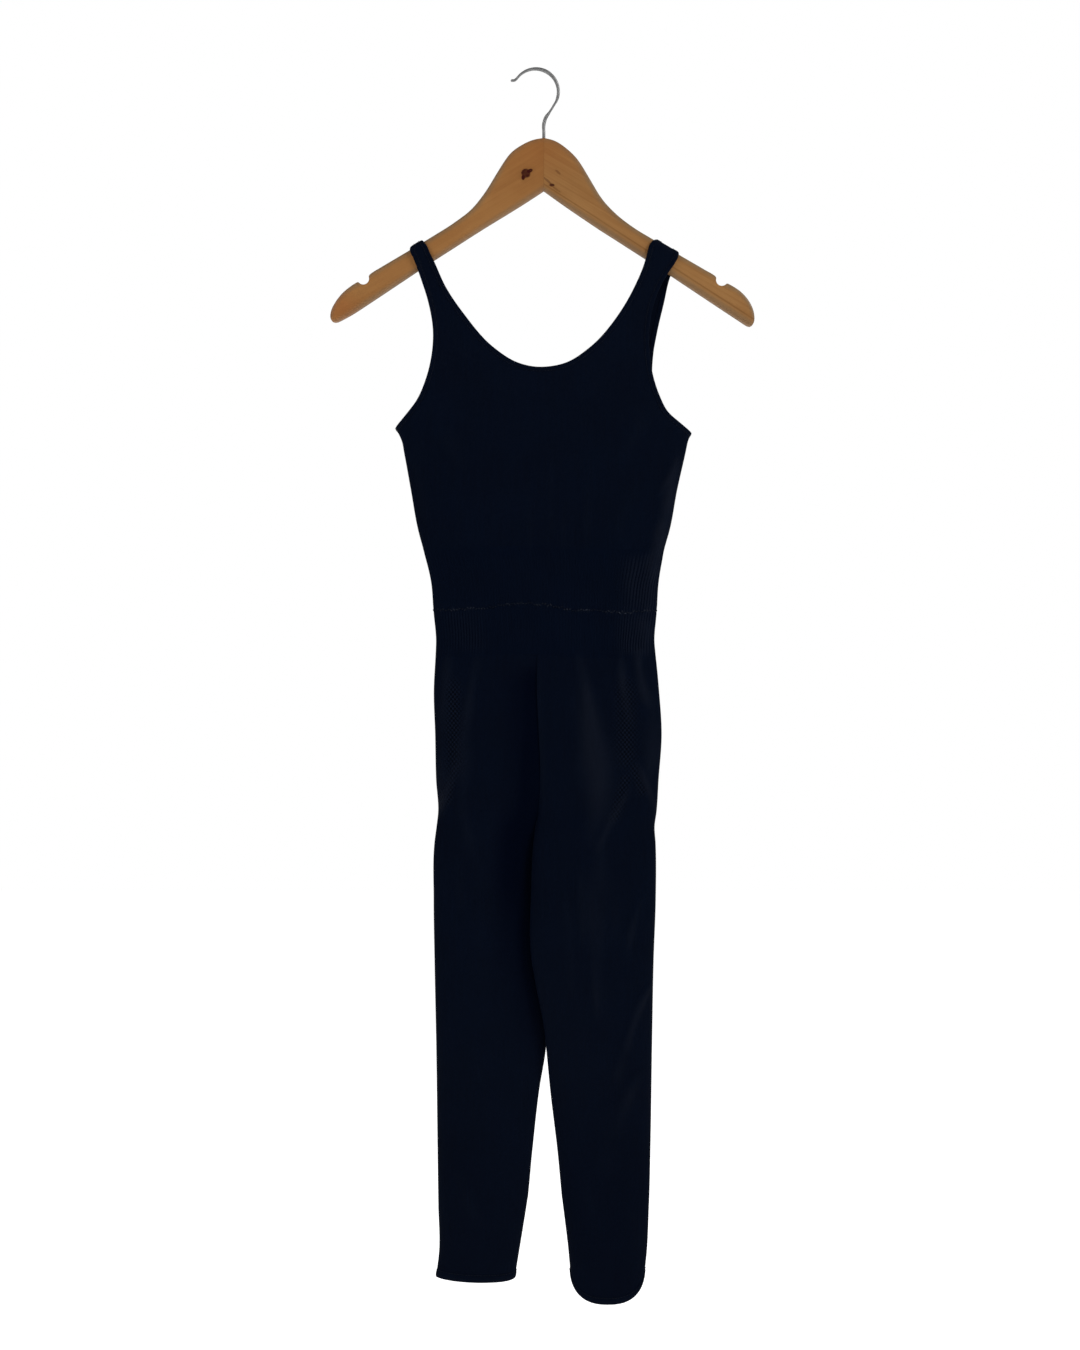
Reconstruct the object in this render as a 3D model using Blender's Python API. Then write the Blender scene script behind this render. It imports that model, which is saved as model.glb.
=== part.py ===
"""A sleeveless seamless-knit jumpsuit, hung by its straps from a two-piece wooden hanger.

Metres, +Z up. The garment's front faces -Y. The origin is the inside top of the hook, where a
rail carries it. Left and right are as seen from the front. The tables below are in
millimetres: x from the centre line of the hanger, heights from the origin, down being negative.

Each cloth piece starts as an outer skin, a grid of points on the hung shape. Its wall is made
by moving that skin inwards along its normals, so every piece is a thin wall of even thickness
with its seam edges 0.3 mm from its neighbours.
"""

import math

import bmesh
import bpy
import numpy as np
from mathutils import Matrix, Vector

MM = 0.001

# Cloth walls and seams
WALL = 1.5
RIB_WALL = 2.0
BAND_PROUD = 0.7
BINDING_WIDTH = 5.5
SEAM_GAP = 0.3
FOLD_RADIUS = 2.8

# The garment's centre line lies to one side of the hook's top
CENTRE_X = 8.7

# Heights of the seams
RIB_TOP = -502.0
WAIST_SEAM = -564.5
RIB_BOTTOM = -616.0
CROTCH = -785.0
WAIST_ARCH = 5.0
ARCH_REACH = 60.0

# height, left side, right side, half depth
SIDES = (
    (-330.0, -157.0, 156.0, 10.5),
    (-376.0, -156.0, 156.0, 11.0),
    (-381.0, -153.4, 155.0, 11.0),
    (-390.0, -149.4, 150.1, 11.0),
    (-402.0, -146.5, 146.8, 11.0),
    (-441.0, -139.0, 138.0, 11.0),
    (-483.0, -131.0, 129.6, 10.5),
    (-502.0, -125.0, 123.5, 10.0),
    (-536.0, -117.0, 119.0, 9.0),
    (-565.0, -115.8, 117.5, 8.5),
    (-600.0, -113.0, 115.6, 9.0),
    (-616.0, -113.4, 117.0, 9.5),
    (-651.0, -114.5, 119.2, 11.0),
    (-699.0, -113.6, 122.2, 12.0),
    (-746.0, -112.4, 119.4, 12.0),
    (-781.0, -110.4, 117.2, 11.5),
    (-795.0, -112.8, 115.2, 11.5),
    (-812.0, -114.6, 116.0, 11.0),
    (-872.0, -115.5, 116.0, 10.5),
    (-935.0, -114.5, 114.0, 10.5),
    (-1026.0, -112.4, 111.8, 10.0),
    (-1135.0, -110.3, 110.5, 10.0),
    (-1198.0, -110.2, 108.6, 10.0),
    (-1246.0, -109.6, 106.5, 10.0),
    (-1266.0, -113.0, 104.4, 10.0),
)

# Centre seam and the inner folds of the legs.
# height, left leg, right leg, forward swing of the inner fold, left rounding, right rounding
INNER = (
    (-616.0, -6.8, -6.8, 0.0, 26.0, 16.0),
    (-700.0, -3.6, -3.6, 0.0, 28.0, 18.0),
    (-760.0, -3.4, -3.4, 0.0, 34.0, 26.0),
    (-785.0, -6.0, -6.0, 0.0, 40.0, 34.0),
    (-798.0, -8.0, -8.0, 3.5, 42.0, 38.0),
    (-815.0, -9.0, -9.8, 6.5, 44.0, 40.0),
    (-862.0, -4.0, -13.3, 7.0, 48.0, 44.0),
    (-928.0, 2.5, -13.6, 7.0, 50.0, 46.0),
    (-967.0, 4.0, -7.2, 7.0, 52.0, 48.0),
    (-1006.0, 3.4, 0.2, 6.0, 52.0, 50.0),
    (-1029.0, 1.6, 3.2, 5.0, 50.0, 48.0),
    (-1072.0, -6.1, 7.4, 3.0, 48.0, 46.0),
    (-1135.0, -13.8, 14.8, 1.5, 46.0, 44.0),
    (-1198.0, -20.8, 21.3, 1.0, 42.0, 42.0),
    (-1246.0, -28.2, 27.6, 0.5, 40.0, 38.0),
    (-1266.0, -31.0, 28.6, 0.0, 40.0, 38.0),
)

# Garment edges in front view, x and height, each from its lowest point up to the wood.
# The last x of each is where the edge crosses the top of the hanger.
ARMHOLES = {
    ("front", "left"): (
        (-156.0, -376.0), (-146.5, -364.5), (-134.0, -347.5), (-124.0, -326.0),
        (-117.6, -301.0), (-115.6, -275.0), (-119.6, -247.5), (-127.6, -221.0),
        (-134.6, -201.0),
    ),
    ("back", "left"): (
        (-156.0, -376.0), (-146.5, -364.5), (-134.0, -347.5), (-124.0, -326.0),
        (-117.6, -301.0), (-115.6, -275.0), (-119.2, -247.5), (-127.2, -221.0),
        (-134.6, -201.0),
    ),
    ("front", "right"): (
        (155.0, -381.0), (145.0, -372.5), (131.0, -360.0), (121.0, -342.0),
        (113.4, -318.0), (110.6, -295.0), (110.8, -272.0), (117.2, -241.0),
        (129.6, -216.0), (138.4, -203.5),
    ),
    ("back", "right"): (
        (155.0, -381.0), (145.0, -372.5), (131.0, -360.0), (121.0, -342.0),
        (114.4, -322.0), (114.4, -299.0), (118.8, -273.0), (126.0, -243.0),
        (133.4, -216.0), (139.0, -203.5),
    ),
}
NECKLINES = {
    ("front", "left"): (
        (-4.0, -313.5), (-27.0, -309.0), (-53.0, -292.5), (-83.0, -258.5),
        (-104.0, -229.5), (-116.4, -202.0),
    ),
    ("front", "right"): (
        (-4.0, -313.5), (23.0, -309.0), (48.5, -292.5), (78.0, -258.5),
        (97.5, -227.0), (105.6, -206.0), (109.4, -190.0),
    ),
    ("back", "left"): (
        (-4.0, -339.0), (-30.0, -333.0), (-58.0, -313.0), (-87.0, -272.0),
        (-106.0, -236.0), (-117.4, -204.0),
    ),
    ("back", "right"): (
        (-4.0, -339.0), (26.0, -333.0), (54.0, -313.0), (83.0, -272.0),
        (101.0, -234.0), (108.0, -208.0), (111.4, -190.0),
    ),
}
# x where the armhole edge and the neck edge cross the top of the hanger
CROSSINGS = {"left": (-142.0, -125.0), "right": (142.0, 117.5)}

# How a strap bends over the wood
STRAP_RISE = 2.6
STRAP_OUT = 8.2
BEND_DEPTH = 6.5
BEND_POWER = 2.5
STRAP_STARTS = -335.0
STRAP_FLAT = -245.0

# Hems: height at the outer corner, drop in the middle, height of the band
HEMS = {
    "left": (-1268.5, 7.0, 9.0),
    "right": (-1267.0, 28.5, 8.0),
}
# Below HEM_BLEND the rows of a leg bend towards the hem's curve, each by its share
HEM_BLEND = -1185.0
HEM_SHARES = (0.45, 0.8, 1.0)
HEM_SOFTNESS = 0.08

# Broad folds of the front.
# top x, top height, bottom x, bottom height, half width, rise (a trough is negative)
FOLDS = (
    (42.0, -640.0, 60.0, -800.0, 17.0, 1.6),
    (-68.0, -622.0, -80.0, -700.0, 12.0, 1.1),
    (112.0, -985.0, 84.0, -1040.0, 12.0, 1.4),
    (84.0, -1040.0, 66.0, -1085.0, 12.0, 1.2),
)

# The hanger: distance from the mitre, left top, right top, underside
HANGER_THICK = 12.0
HANGER_ROUND = 3.0
HANGER_ARM = (
    (0.0, -71.0, -71.0, -128.5),
    (12.0, -73.3, -74.2, -136.0),
    (24.0, -79.0, -82.2, -143.6),
    (36.0, -88.2, -94.2, -151.0),
    (48.0, -106.0, -113.6, -158.6),
    (60.0, -125.8, -133.6, -166.2),
    (74.0, -144.0, -149.2, -175.0),
    (92.0, -158.6, -163.6, -186.6),
    (116.0, -174.0, -178.4, -202.0),
    (150.0, -194.4, -198.4, -224.6),
    (183.0, -214.0, -217.6, -246.6),
)
NOTCH_RADIUS = 6.2
# x and height of the shoulder notch's centre, then the outer edge down to the tip
NOTCH_CENTRE = {"left": (-189.4, -219.6), "right": (186.8, -221.0)}
ARM_END = {
    "left": (
        (-195.0, -222.6), (-203.5, -227.0), (-211.5, -233.0), (-219.5, -242.6),
        (-225.0, -255.0), (-224.4, -263.2), (-219.6, -265.2), (-213.0, -262.6),
    ),
    "right": (
        (192.4, -224.4), (203.0, -229.6), (211.0, -236.6), (217.6, -246.0),
        (221.2, -258.0), (220.6, -266.0), (217.4, -269.4), (210.0, -265.6),
    ),
}

# Places along an arm where its outline has a point: on the crown, on the arm and below
CROWN_REACHES = np.linspace(0.0, 70.0, 15)
ARM_REACHES = np.linspace(84.0, 168.0, 5)
UNDER_REACHES = (170.0, 110.0, 60.0, 30.0, 0.0)
NOTCH_SWEEP = 150.0
NOTCH_POINTS = 8
END_POINTS = 12

# The hook: the round part's first and last angle, then the curl before it and the bend after
# it, both as x from the origin and height
WIRE_RADIUS = 1.6
HOOK_RADIUS = 24.0
HOOK_ANGLES = (140.0, -26.0)
HOOK_CURL = ((-24.6, -11.0), (-21.6, -11.2), (-19.6, -8.4))
HOOK_BEND = ((15.0, -43.6), (10.6, -50.2), (CENTRE_X, -57.0), (CENTRE_X, -66.0))
HOOK_POINTS = 22
CURL_POINTS = 7
BEND_POINTS = 13
STEM_CLEARANCE = 0.35
STEM_END = -98.0
BORE_LENGTH = 60.0

# Mesh densities
ROUTE_POINTS = 400
PANEL_COLUMNS = 8
LOWER_ROWS = 8
UPPER_ROWS = 11
BEND_ROWS = 5
TUBE_COLUMNS = 36
RIB_ROWS = 2
LEG_COLUMNS = 11
SEAT_ROWS = 6
LEG_ROWS = 12


# ---------------------------------------------------------------- curves and tables


def smooth_curve(keys, values):
    """A function through the given values, with even slopes between them."""
    order = np.argsort(keys)
    keys = np.array(keys, float)[order]
    values = np.array(values, float)[order]
    slopes = np.gradient(values, keys)

    def at(key):
        key = np.clip(key, keys[0], keys[-1])
        i = np.clip(np.searchsorted(keys, key) - 1, 0, len(keys) - 2)
        span = keys[i + 1] - keys[i]
        t = (key - keys[i]) / span
        start = (1 + 2 * t) * (1 - t) ** 2 * values[i] + t * (1 - t) ** 2 * span * slopes[i]
        return start + t**2 * (3 - 2 * t) * values[i + 1] + t**2 * (t - 1) * span * slopes[i + 1]

    return at


def columns_of(table):
    """One smooth function of the first column for each of the others."""
    columns = list(zip(*table))
    return [smooth_curve(columns[0], column) for column in columns[1:]]


def dense_route(points, count=ROUTE_POINTS):
    """Closely spaced points along a smooth route through the given ones, evenly by length."""
    points = np.array(points, float)
    along = np.concatenate([[0], np.cumsum(np.linalg.norm(np.diff(points, axis=0), axis=1))])
    fine = np.linspace(0, along[-1], count)
    line = np.stack([smooth_curve(along, points[:, axis])(fine) for axis in (0, 1)], axis=1)
    return resampled(line, np.linspace(0, 1, count))


def resampled(line, fractions):
    """The points at the given fractions of a line's length."""
    length = np.concatenate([[0], np.cumsum(np.linalg.norm(np.diff(line, axis=0), axis=1))])
    wanted = np.array(fractions) * length[-1]
    return np.stack([np.interp(wanted, length, line[:, axis]) for axis in (0, 1)], axis=1)


def smooth_step(start, end, value):
    t = np.clip((value - start) / (end - start), 0, 1)
    return t * t * (3 - 2 * t)


left_side, right_side, half_depth = columns_of(SIDES)
left_inner, right_inner, inner_swing, left_rounding, right_rounding = columns_of(INNER)
left_wood_top, right_wood_top, wood_under = columns_of(HANGER_ARM)


# ---------------------------------------------------------------- the hung shape


def wood_top(x):
    return np.where(x < 0, left_wood_top(-x), right_wood_top(x))


def side_profile(distance, reach, depth):
    """1 in the middle of a wall, 0 at its side fold, turning with the fold's radius."""
    power = np.maximum(2.0, 2 * reach * FOLD_RADIUS / depth**2)
    return np.sqrt(np.clip(1 - (1 - np.clip(distance / reach, 0, 1)) ** power, 0, 1))


def waist_lift(x, z):
    """The waist seam arches up in the middle, and the rows near it follow."""
    middle = (left_side(z) + right_side(z)) / 2
    reach = (right_side(z) - left_side(z)) / 2
    across = 1 - np.clip((x - middle) / reach, -1, 1) ** 2
    return WAIST_ARCH * across * np.exp(-(((z - WAIST_SEAM) / ARCH_REACH) ** 2))


def fold_rise(x, z):
    """How far the broad folds stand out of the front at a place."""
    rise = np.zeros(np.broadcast(x, z).shape)
    for top_x, top_z, low_x, low_z, width, height in FOLDS:
        along = np.array([low_x - top_x, low_z - top_z])
        length = np.linalg.norm(along)
        along /= length
        step = ((x - top_x) * along[0] + (z - top_z) * along[1]) / length
        aside = (x - top_x) * along[1] - (z - top_z) * along[0]
        ends = np.sin(math.pi * np.clip(step, 0, 1))
        rise += height * ends * np.exp(-((aside / width) ** 2))
    return rise


def torso_out(x, z):
    """Distance of the bodice or rib wall from the garment's middle plane."""
    left, right, depth = left_side(z), right_side(z), half_depth(z)
    reach = (right - left) / 2
    out = depth * side_profile(np.minimum(x - left, right - x), reach, depth)
    strap = smooth_step(STRAP_STARTS, STRAP_FLAT, z)
    out = (1 - strap) * out + strap * STRAP_OUT
    below = (wood_top(x) + STRAP_RISE - z) * strap_slope(x)
    bend = np.clip((BEND_DEPTH - below) / BEND_DEPTH, 0, 1)
    return out * (1 - bend**BEND_POWER) ** (1 / BEND_POWER)


def strap_slope(x):
    """Cosine of the slope of the wood's top where a strap crosses it."""
    rise = np.abs(wood_top(x + 1.0) - wood_top(x - 1.0)) / 2
    return 1 / np.sqrt(1 + rise**2)


FACE_SIGN = {"front": -1.0, "back": 1.0}


def torso_points(line, face, clearance):
    """A line of (x, height) laid on the front or back wall, as points in space."""
    x, z = line[:, 0], line[:, 1]
    y = FACE_SIGN[face] * (torso_out(x, z) + clearance)
    return np.stack([x, y, z + waist_lift(x, z)], axis=1)


def leg_loop(side, height, columns, drop=None):
    """One level of a leg and its half of the seat: front seam, outer fold, back seam.

    The front wall's points come first, from the inner edge to the outer fold, then the back
    wall's. Below the crotch the first and the last point are the same place.
    """
    outer = (left_side if side == "left" else right_side)(height)
    inner = (left_inner if side == "left" else right_inner)(height)
    rounding = (left_rounding if side == "left" else right_rounding)(height)
    outwards = -1.0 if side == "left" else 1.0
    inner = inner + outwards * SEAM_GAP / 2
    width = abs(outer - inner)
    turn = np.linspace(math.pi, -math.pi, 2 * columns + 1)
    distance = width * (1 - np.cos(turn)) / 2
    depth = half_depth(height)
    reach = leg_reach(height, width)
    closing = 1 - seam_opening(height) ** 2
    inside = 1 - np.clip((width - distance) / rounding, 0, 1)
    out = depth * side_profile(distance, reach, depth)
    out = out * np.sqrt(np.clip(1 - closing * inside**2, 0, 1))
    x = outer - outwards * distance
    front = turn >= 0
    out = out + np.where(front, fold_rise(x, height) * closing_edges(distance, width), 0.0)
    swing = -outwards * inner_swing(height) * smooth_step(0, width, distance)
    y = swing - np.where(front, out, -out)
    z = np.full_like(x, height)
    if drop is not None:
        z = z + drop(np.abs(np.sin(turn)))
    return np.stack([x, y, z + waist_lift(x, z)], axis=1)


def closing_edges(distance, width):
    """Fades a fold out at both edges of a wall."""
    return np.clip(4 * np.minimum(distance, width - distance) / width, 0, 1)


def seam_opening(height):
    """How far open the seat is at its centre seams: 1 at the rib, 0 at the crotch."""
    t = np.clip((RIB_BOTTOM - height) / (RIB_BOTTOM - CROTCH), 0, 1)
    return np.sqrt(np.clip(1 - t**1.7, 0, 1))


def leg_reach(height, width):
    """How far from the outer fold the wall is still rising: half the hips, then half the leg."""
    hips = (right_side(height) - left_side(height)) / 2
    t = smooth_step(CROTCH, -1100.0, height)
    return (1 - t) * hips + t * width / 2


# ---------------------------------------------------------------- meshes


def new_object(name, points, faces, material, smooth=True):
    mesh = bpy.data.meshes.new(name)
    mesh.from_pydata([(x * MM, y * MM, z * MM) for x, y, z in points], [], faces)
    mesh.validate()
    obj = bpy.data.objects.new(name, mesh)
    obj.location.x = CENTRE_X * MM
    bpy.context.scene.collection.objects.link(obj)
    mesh.materials.append(material)
    if smooth:
        mesh.shade_smooth()
    return obj


def skin_normals(points, faces):
    mesh = bpy.data.meshes.new("skin")
    mesh.from_pydata([tuple(point) for point in points], [], faces)
    normals = np.array([tuple(vertex.normal) for vertex in mesh.vertices])
    bpy.data.meshes.remove(mesh)
    return normals


def border_edges(faces):
    """The directed edges that only one face uses."""
    used = {(face[i - 1], face[i]) for face in faces for i in range(len(face))}
    return [(a, b) for a, b in sorted(used) if (b, a) not in used]


def rim_face(a, b, count):
    """The rim along one border edge, its corners in an order that splits both sides of a seam alike."""
    if a < b:
        return (b, a, a + count, b + count)
    return (a, a + count, b + count, b)


def cloth_wall(name, points, faces, material, thickness=WALL, proud=0.0, adjust=None):
    """Gives an outer skin its inner skin and rims, so it becomes one closed wall."""
    points = np.array(points)
    normals = skin_normals(points, faces)
    if adjust is not None:
        normals = adjust(points, normals)
    normals /= np.linalg.norm(normals, axis=1)[:, None]
    outer = points + normals * proud
    inner = points - normals * thickness
    count = len(points)
    walls = list(faces)
    walls += [tuple(i + count for i in reversed(face)) for face in faces]
    walls += [rim_face(a, b, count) for a, b in border_edges(faces)]
    return new_object(name, np.concatenate([outer, inner]), walls, material)


class Skin:
    """Collects grid points by key, so that grids can share them, and the faces between."""

    def __init__(self):
        self.points = []
        self.index = {}
        self.faces = []

    def add(self, key, point):
        if key not in self.index:
            self.index[key] = len(self.points)
            self.points.append(tuple(point))
        return self.index[key]

    def quad(self, *keys):
        face = []
        for key in keys:
            if self.index[key] not in face:
                face.append(self.index[key])
        if len(face) > 2:
            self.faces.append(tuple(face))


# ---------------------------------------------------------------- bodice


def inset_line(line, distance, cloth_side):
    """A line moved sideways into the cloth: cloth_side is 1 where the cloth lies to its right."""
    along = np.gradient(line, axis=0)
    along /= np.linalg.norm(along, axis=1)[:, None]
    sideways = np.stack([along[:, 1], -along[:, 0]], axis=1) * cloth_side
    return line + sideways * distance


def crossing_point(x):
    return (x, float(wood_top(np.array(x))) + STRAP_RISE)


def upper_fractions(line, rows):
    """Places along an edge: even up to the bend over the wood, then closer round the bend."""
    below = (wood_top(line[:, 0]) + STRAP_RISE - line[:, 1]) * strap_slope(line[:, 0])
    length = np.linspace(0, 1, len(line))
    tail = slice(len(line) * 3 // 4, None)
    bend_start = np.interp(-BEND_DEPTH, -below[tail], length[tail])
    even = np.linspace(0, bend_start, rows + 1)
    turn = np.arange(1, BEND_ROWS + 1) / BEND_ROWS * math.pi / 2
    depths = BEND_DEPTH * (1 - np.sin(turn))
    bend = np.interp(-depths, -below[tail], length[tail])
    bend[-1] = 1.0
    return np.concatenate([even, bend])


def edge_lines(face, side):
    """Both edges of half a bodice panel above the underarm, at three depths into the cloth.

    Returns the armhole's and the neck's garment edge, the binding's inner edge and the
    panel's own edge, all with points at matching places.
    """
    armhole_x, neck_x = CROSSINGS[side]
    sign = 1.0 if side == "left" else -1.0
    lines = {}
    for name, table, end, cloth_side in (
        ("armhole", ARMHOLES, armhole_x, sign),
        ("neck", NECKLINES, neck_x, -sign),
    ):
        line = dense_route(table[face, side] + (crossing_point(end),))
        across = np.array(crossing_point(neck_x)) - np.array(crossing_point(armhole_x))
        across *= (1.0 if name == "armhole" else -1.0) / np.linalg.norm(across)
        found = []
        for depth in (0.0, BINDING_WIDTH, BINDING_WIDTH + SEAM_GAP):
            moved = inset_line(line, depth, cloth_side)
            moved[-1] = line[-1] + across * depth
            if name == "armhole" and depth:
                moved[0] = underarm_corner(side, line[0, 1] - depth)
            if name == "neck":
                moved[0] = (line[0, 0], line[0, 1] - depth)
            moved = resampled(moved, np.linspace(0, 1, len(moved)))
            found.append(resampled(moved, upper_fractions(moved, UPPER_ROWS)))
        lines[name] = found
    return lines


def underarm_corner(side, height):
    edge = left_side if side == "left" else right_side
    return (float(edge(height)), height)


def bodice_panel(face, material):
    """Front or back of the bodice, with its half of both straps."""
    skin = Skin()
    spread = 1 - np.cos(np.linspace(0, math.pi / 2, PANEL_COLUMNS + 1))
    for side in ("left", "right"):
        lines = edge_lines(face, side)
        outer, inner = lines["armhole"][2], lines["neck"][2]
        edge = left_side if side == "left" else right_side
        side_heights = np.linspace(RIB_TOP + SEAM_GAP / 2, outer[0, 1], LOWER_ROWS + 1)[:-1]
        middle_heights = np.linspace(RIB_TOP + SEAM_GAP / 2, inner[0, 1], LOWER_ROWS + 1)[:-1]
        lower_outer = np.stack([edge(side_heights), side_heights], axis=1)
        lower_inner = np.stack([np.full(LOWER_ROWS, inner[0, 0]), middle_heights], axis=1)
        outer = np.concatenate([lower_outer, outer])
        inner = np.concatenate([lower_inner, inner])
        add_half_panel(skin, face, side, outer, inner, spread)
    return cloth_wall(f"bodice_{face}", skin.points, skin.faces, material, adjust=bodice_edges)


def add_half_panel(skin, face, side, outer, inner, spread):
    """The grid between a half panel's outer line and its inner line."""

    def key(row, column):
        on_middle = column == PANEL_COLUMNS and row <= LOWER_ROWS
        return ("middle", row) if on_middle else (side, row, column)

    for row, (start, end) in enumerate(zip(outer, inner)):
        line = start + (end - start) * spread[:, None]
        for column, point in enumerate(torso_points(line, face, SEAM_GAP / 2)):
            skin.add(key(row, column), point)
    turned = (side == "left") != (face == "front")
    for row in range(len(outer) - 1):
        for column in range(PANEL_COLUMNS):
            corners = [key(row, column), key(row, column + 1)]
            corners += [key(row + 1, column + 1), key(row + 1, column)]
            skin.quad(*(reversed(corners) if turned else corners))


def bodice_edges(points, normals):
    """At the side and shoulder seams the rim lies flat against the other panel's."""
    on_seam = np.abs(points[:, 1]) < SEAM_GAP / 2 + 0.01
    normals[on_seam, 1] = 0.0
    return normals


# ---------------------------------------------------------------- bindings


def ring_wall(name, edge, inside, material):
    """A closed band between an outer loop of points and the loop beside it in the cloth."""
    along = np.roll(edge, -1, axis=0) - np.roll(edge, 1, axis=0)
    normals = np.cross(along, inside - edge)
    normals /= np.linalg.norm(normals, axis=1)[:, None]
    middle = edge.mean(axis=0)
    if (normals[:, 1] * (edge - middle)[:, 1]).sum() < 0:
        normals = -normals
    rails = (edge + normals * BAND_PROUD, inside + normals * BAND_PROUD)
    rails += (inside - normals * WALL, edge - normals * WALL)
    count = len(edge)
    faces = []
    for rail in range(4):
        for i in range(count):
            j = (i + 1) % count
            a, b = rail * count, (rail + 1) % 4 * count
            faces.append((a + i, a + j, b + j, b + i))
    obj = new_object(name, np.concatenate(rails), faces, material)
    face_outwards(obj)
    return obj


def face_outwards(obj):
    shape = bmesh.new()
    shape.from_mesh(obj.data)
    bmesh.ops.recalc_face_normals(shape, faces=shape.faces)
    if shape.calc_volume(signed=True) < 0:
        bmesh.ops.reverse_faces(shape, faces=shape.faces)
    shape.to_mesh(obj.data)
    shape.free()


def neck_binding(material):
    """One ring: down and up the front neckline, over the wood, down and up the back."""
    loops = []
    for depth in (0, 1):
        right_front = edge_lines("front", "right")["neck"][depth]
        left_front = edge_lines("front", "left")["neck"][depth]
        left_back = edge_lines("back", "left")["neck"][depth]
        right_back = edge_lines("back", "right")["neck"][depth]
        front = torso_points(np.concatenate([right_front[::-1], left_front[1:]]), "front", 0.0)
        back = torso_points(np.concatenate([left_back[-2::-1], right_back[1:-1]]), "back", 0.0)
        loops.append(np.concatenate([front, back]))
    return ring_wall("neck_binding", loops[0], loops[1], material)


def armhole_binding(side, material):
    """One ring: from the underarm up the front, over the wood and down the back."""
    loops = []
    for depth in (0, 1):
        front = torso_points(edge_lines("front", side)["armhole"][depth], "front", 0.0)
        back = torso_points(edge_lines("back", side)["armhole"][depth], "back", 0.0)
        loops.append(np.concatenate([front, back[-2:0:-1]]))
    return ring_wall(f"armhole_binding_{side}", loops[0], loops[1], material)


# ---------------------------------------------------------------- waist


def rib_tube(name, top, bottom, material):
    """A ribbed zone of the waist, all round."""
    skin = Skin()
    heights = np.linspace(top - SEAM_GAP / 2, bottom + SEAM_GAP / 2, RIB_ROWS + 1)
    turn = np.arange(TUBE_COLUMNS) * 2 * math.pi / TUBE_COLUMNS
    for row, height in enumerate(heights):
        left, right = left_side(height), right_side(height)
        x = (left + right) / 2 + (right - left) / 2 * np.cos(turn)
        z = np.full_like(x, height)
        y = -np.sign(np.sin(turn).round(9)) * torso_out(x, z)
        for column, point in enumerate(np.stack([x, y, z + waist_lift(x, z)], axis=1)):
            skin.add((row, column), point)
    for row in range(RIB_ROWS):
        for column in range(TUBE_COLUMNS):
            after = (column + 1) % TUBE_COLUMNS
            skin.quad((row, column), (row, after), (row + 1, after), (row + 1, column))
    return cloth_wall(name, skin.points, skin.faces, material, thickness=RIB_WALL)


# ---------------------------------------------------------------- legs and hems


def leg_heights():
    seat = np.linspace(RIB_BOTTOM - SEAM_GAP / 2, CROTCH, SEAT_ROWS + 1)
    return np.concatenate([seat, np.linspace(CROTCH, HEM_BLEND, LEG_ROWS + 1)[1:]])


def add_tube(skin, rows, loops, open_rows, turned):
    """A tube of loops whose first and last points are one place, but for the open rows."""
    columns = len(loops[0]) - 1

    def key(row, column):
        return (row, 0) if column == columns and row not in open_rows else (row, column)

    for row, loop in zip(rows, loops):
        for column, point in enumerate(loop):
            skin.add(key(row, column), point)
    for row in rows[:-1]:
        for column in range(columns):
            corners = [key(row, column), key(row, column + 1)]
            corners += [key(row + 1, column + 1), key(row + 1, column)]
            skin.quad(*(reversed(corners) if turned else corners))


def hem_drop(side, height, share):
    """Rows below HEM_BLEND sag towards the hem's curve: share is 1 at the top of the band."""
    corner, drop, band = HEMS[side]
    level = HEM_BLEND + (corner + band - HEM_BLEND) * share

    def dropped(across):
        rounded = np.sqrt(across**2 + HEM_SOFTNESS) - math.sqrt(HEM_SOFTNESS)
        return level - height - drop * share * rounded

    return dropped


def leg(side, material):
    """A leg and its half of the seat, open along the rise down to the crotch."""
    heights = leg_heights()
    loops = [leg_loop(side, height, LEG_COLUMNS) for height in heights]
    for share in HEM_SHARES:
        level = HEM_BLEND + (HEMS[side][0] + HEMS[side][2] - HEM_BLEND) * share
        drop = hem_drop(side, level, share)
        loops.append(leg_loop(side, level, LEG_COLUMNS, drop))
    skin = Skin()
    add_tube(skin, range(len(loops)), loops, range(SEAT_ROWS), side == "right")
    inner_edge = left_inner if side == "left" else right_inner
    inward = 1.0 if side == "left" else -1.0

    def seam_edges(points, normals):
        """Rims: level at the hem, and never leaning towards the other leg at the rise."""
        at_seam = np.abs(points[:, 0] - inner_edge(points[:, 2])) < 1.0
        at_seam &= points[:, 2] > CROTCH - 1.0
        normals[at_seam, 0] = inward * np.maximum(0.0, inward * normals[at_seam, 0])
        return level_normals(points, normals, 1)

    return cloth_wall(f"leg_{side}", skin.points, skin.faces, material, adjust=seam_edges)


def hem(side, material):
    """The turned hem, a thicker band that follows the leg's lower edge."""
    corner, _, band = HEMS[side]
    top = leg_loop(side, corner + band, LEG_COLUMNS, hem_drop(side, corner + band, 1.0))
    step = np.diff(top, axis=0)
    slope = np.abs(step[:, 2]) / np.hypot(step[:, 0], step[:, 1])
    steepest = np.maximum(np.append(slope, slope[0]), np.append(slope[-1], slope))
    seam_edge = top.copy()
    seam_edge[:, 2] -= SEAM_GAP * np.hypot(1, steepest)
    loops = [seam_edge]
    for below in (band / 2, band):
        loop = leg_loop(side, corner + band - below, LEG_COLUMNS)
        loop[:, 2] = top[:, 2] - below
        loops.append(loop)
    skin = Skin()
    add_tube(skin, range(len(loops)), loops, (), side == "right")

    def band_edges(points, normals):
        return level_normals(points, normals, len(loops))

    return cloth_wall(
        f"hem_{side}", skin.points, skin.faces, material, proud=BAND_PROUD, adjust=band_edges
    )


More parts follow.
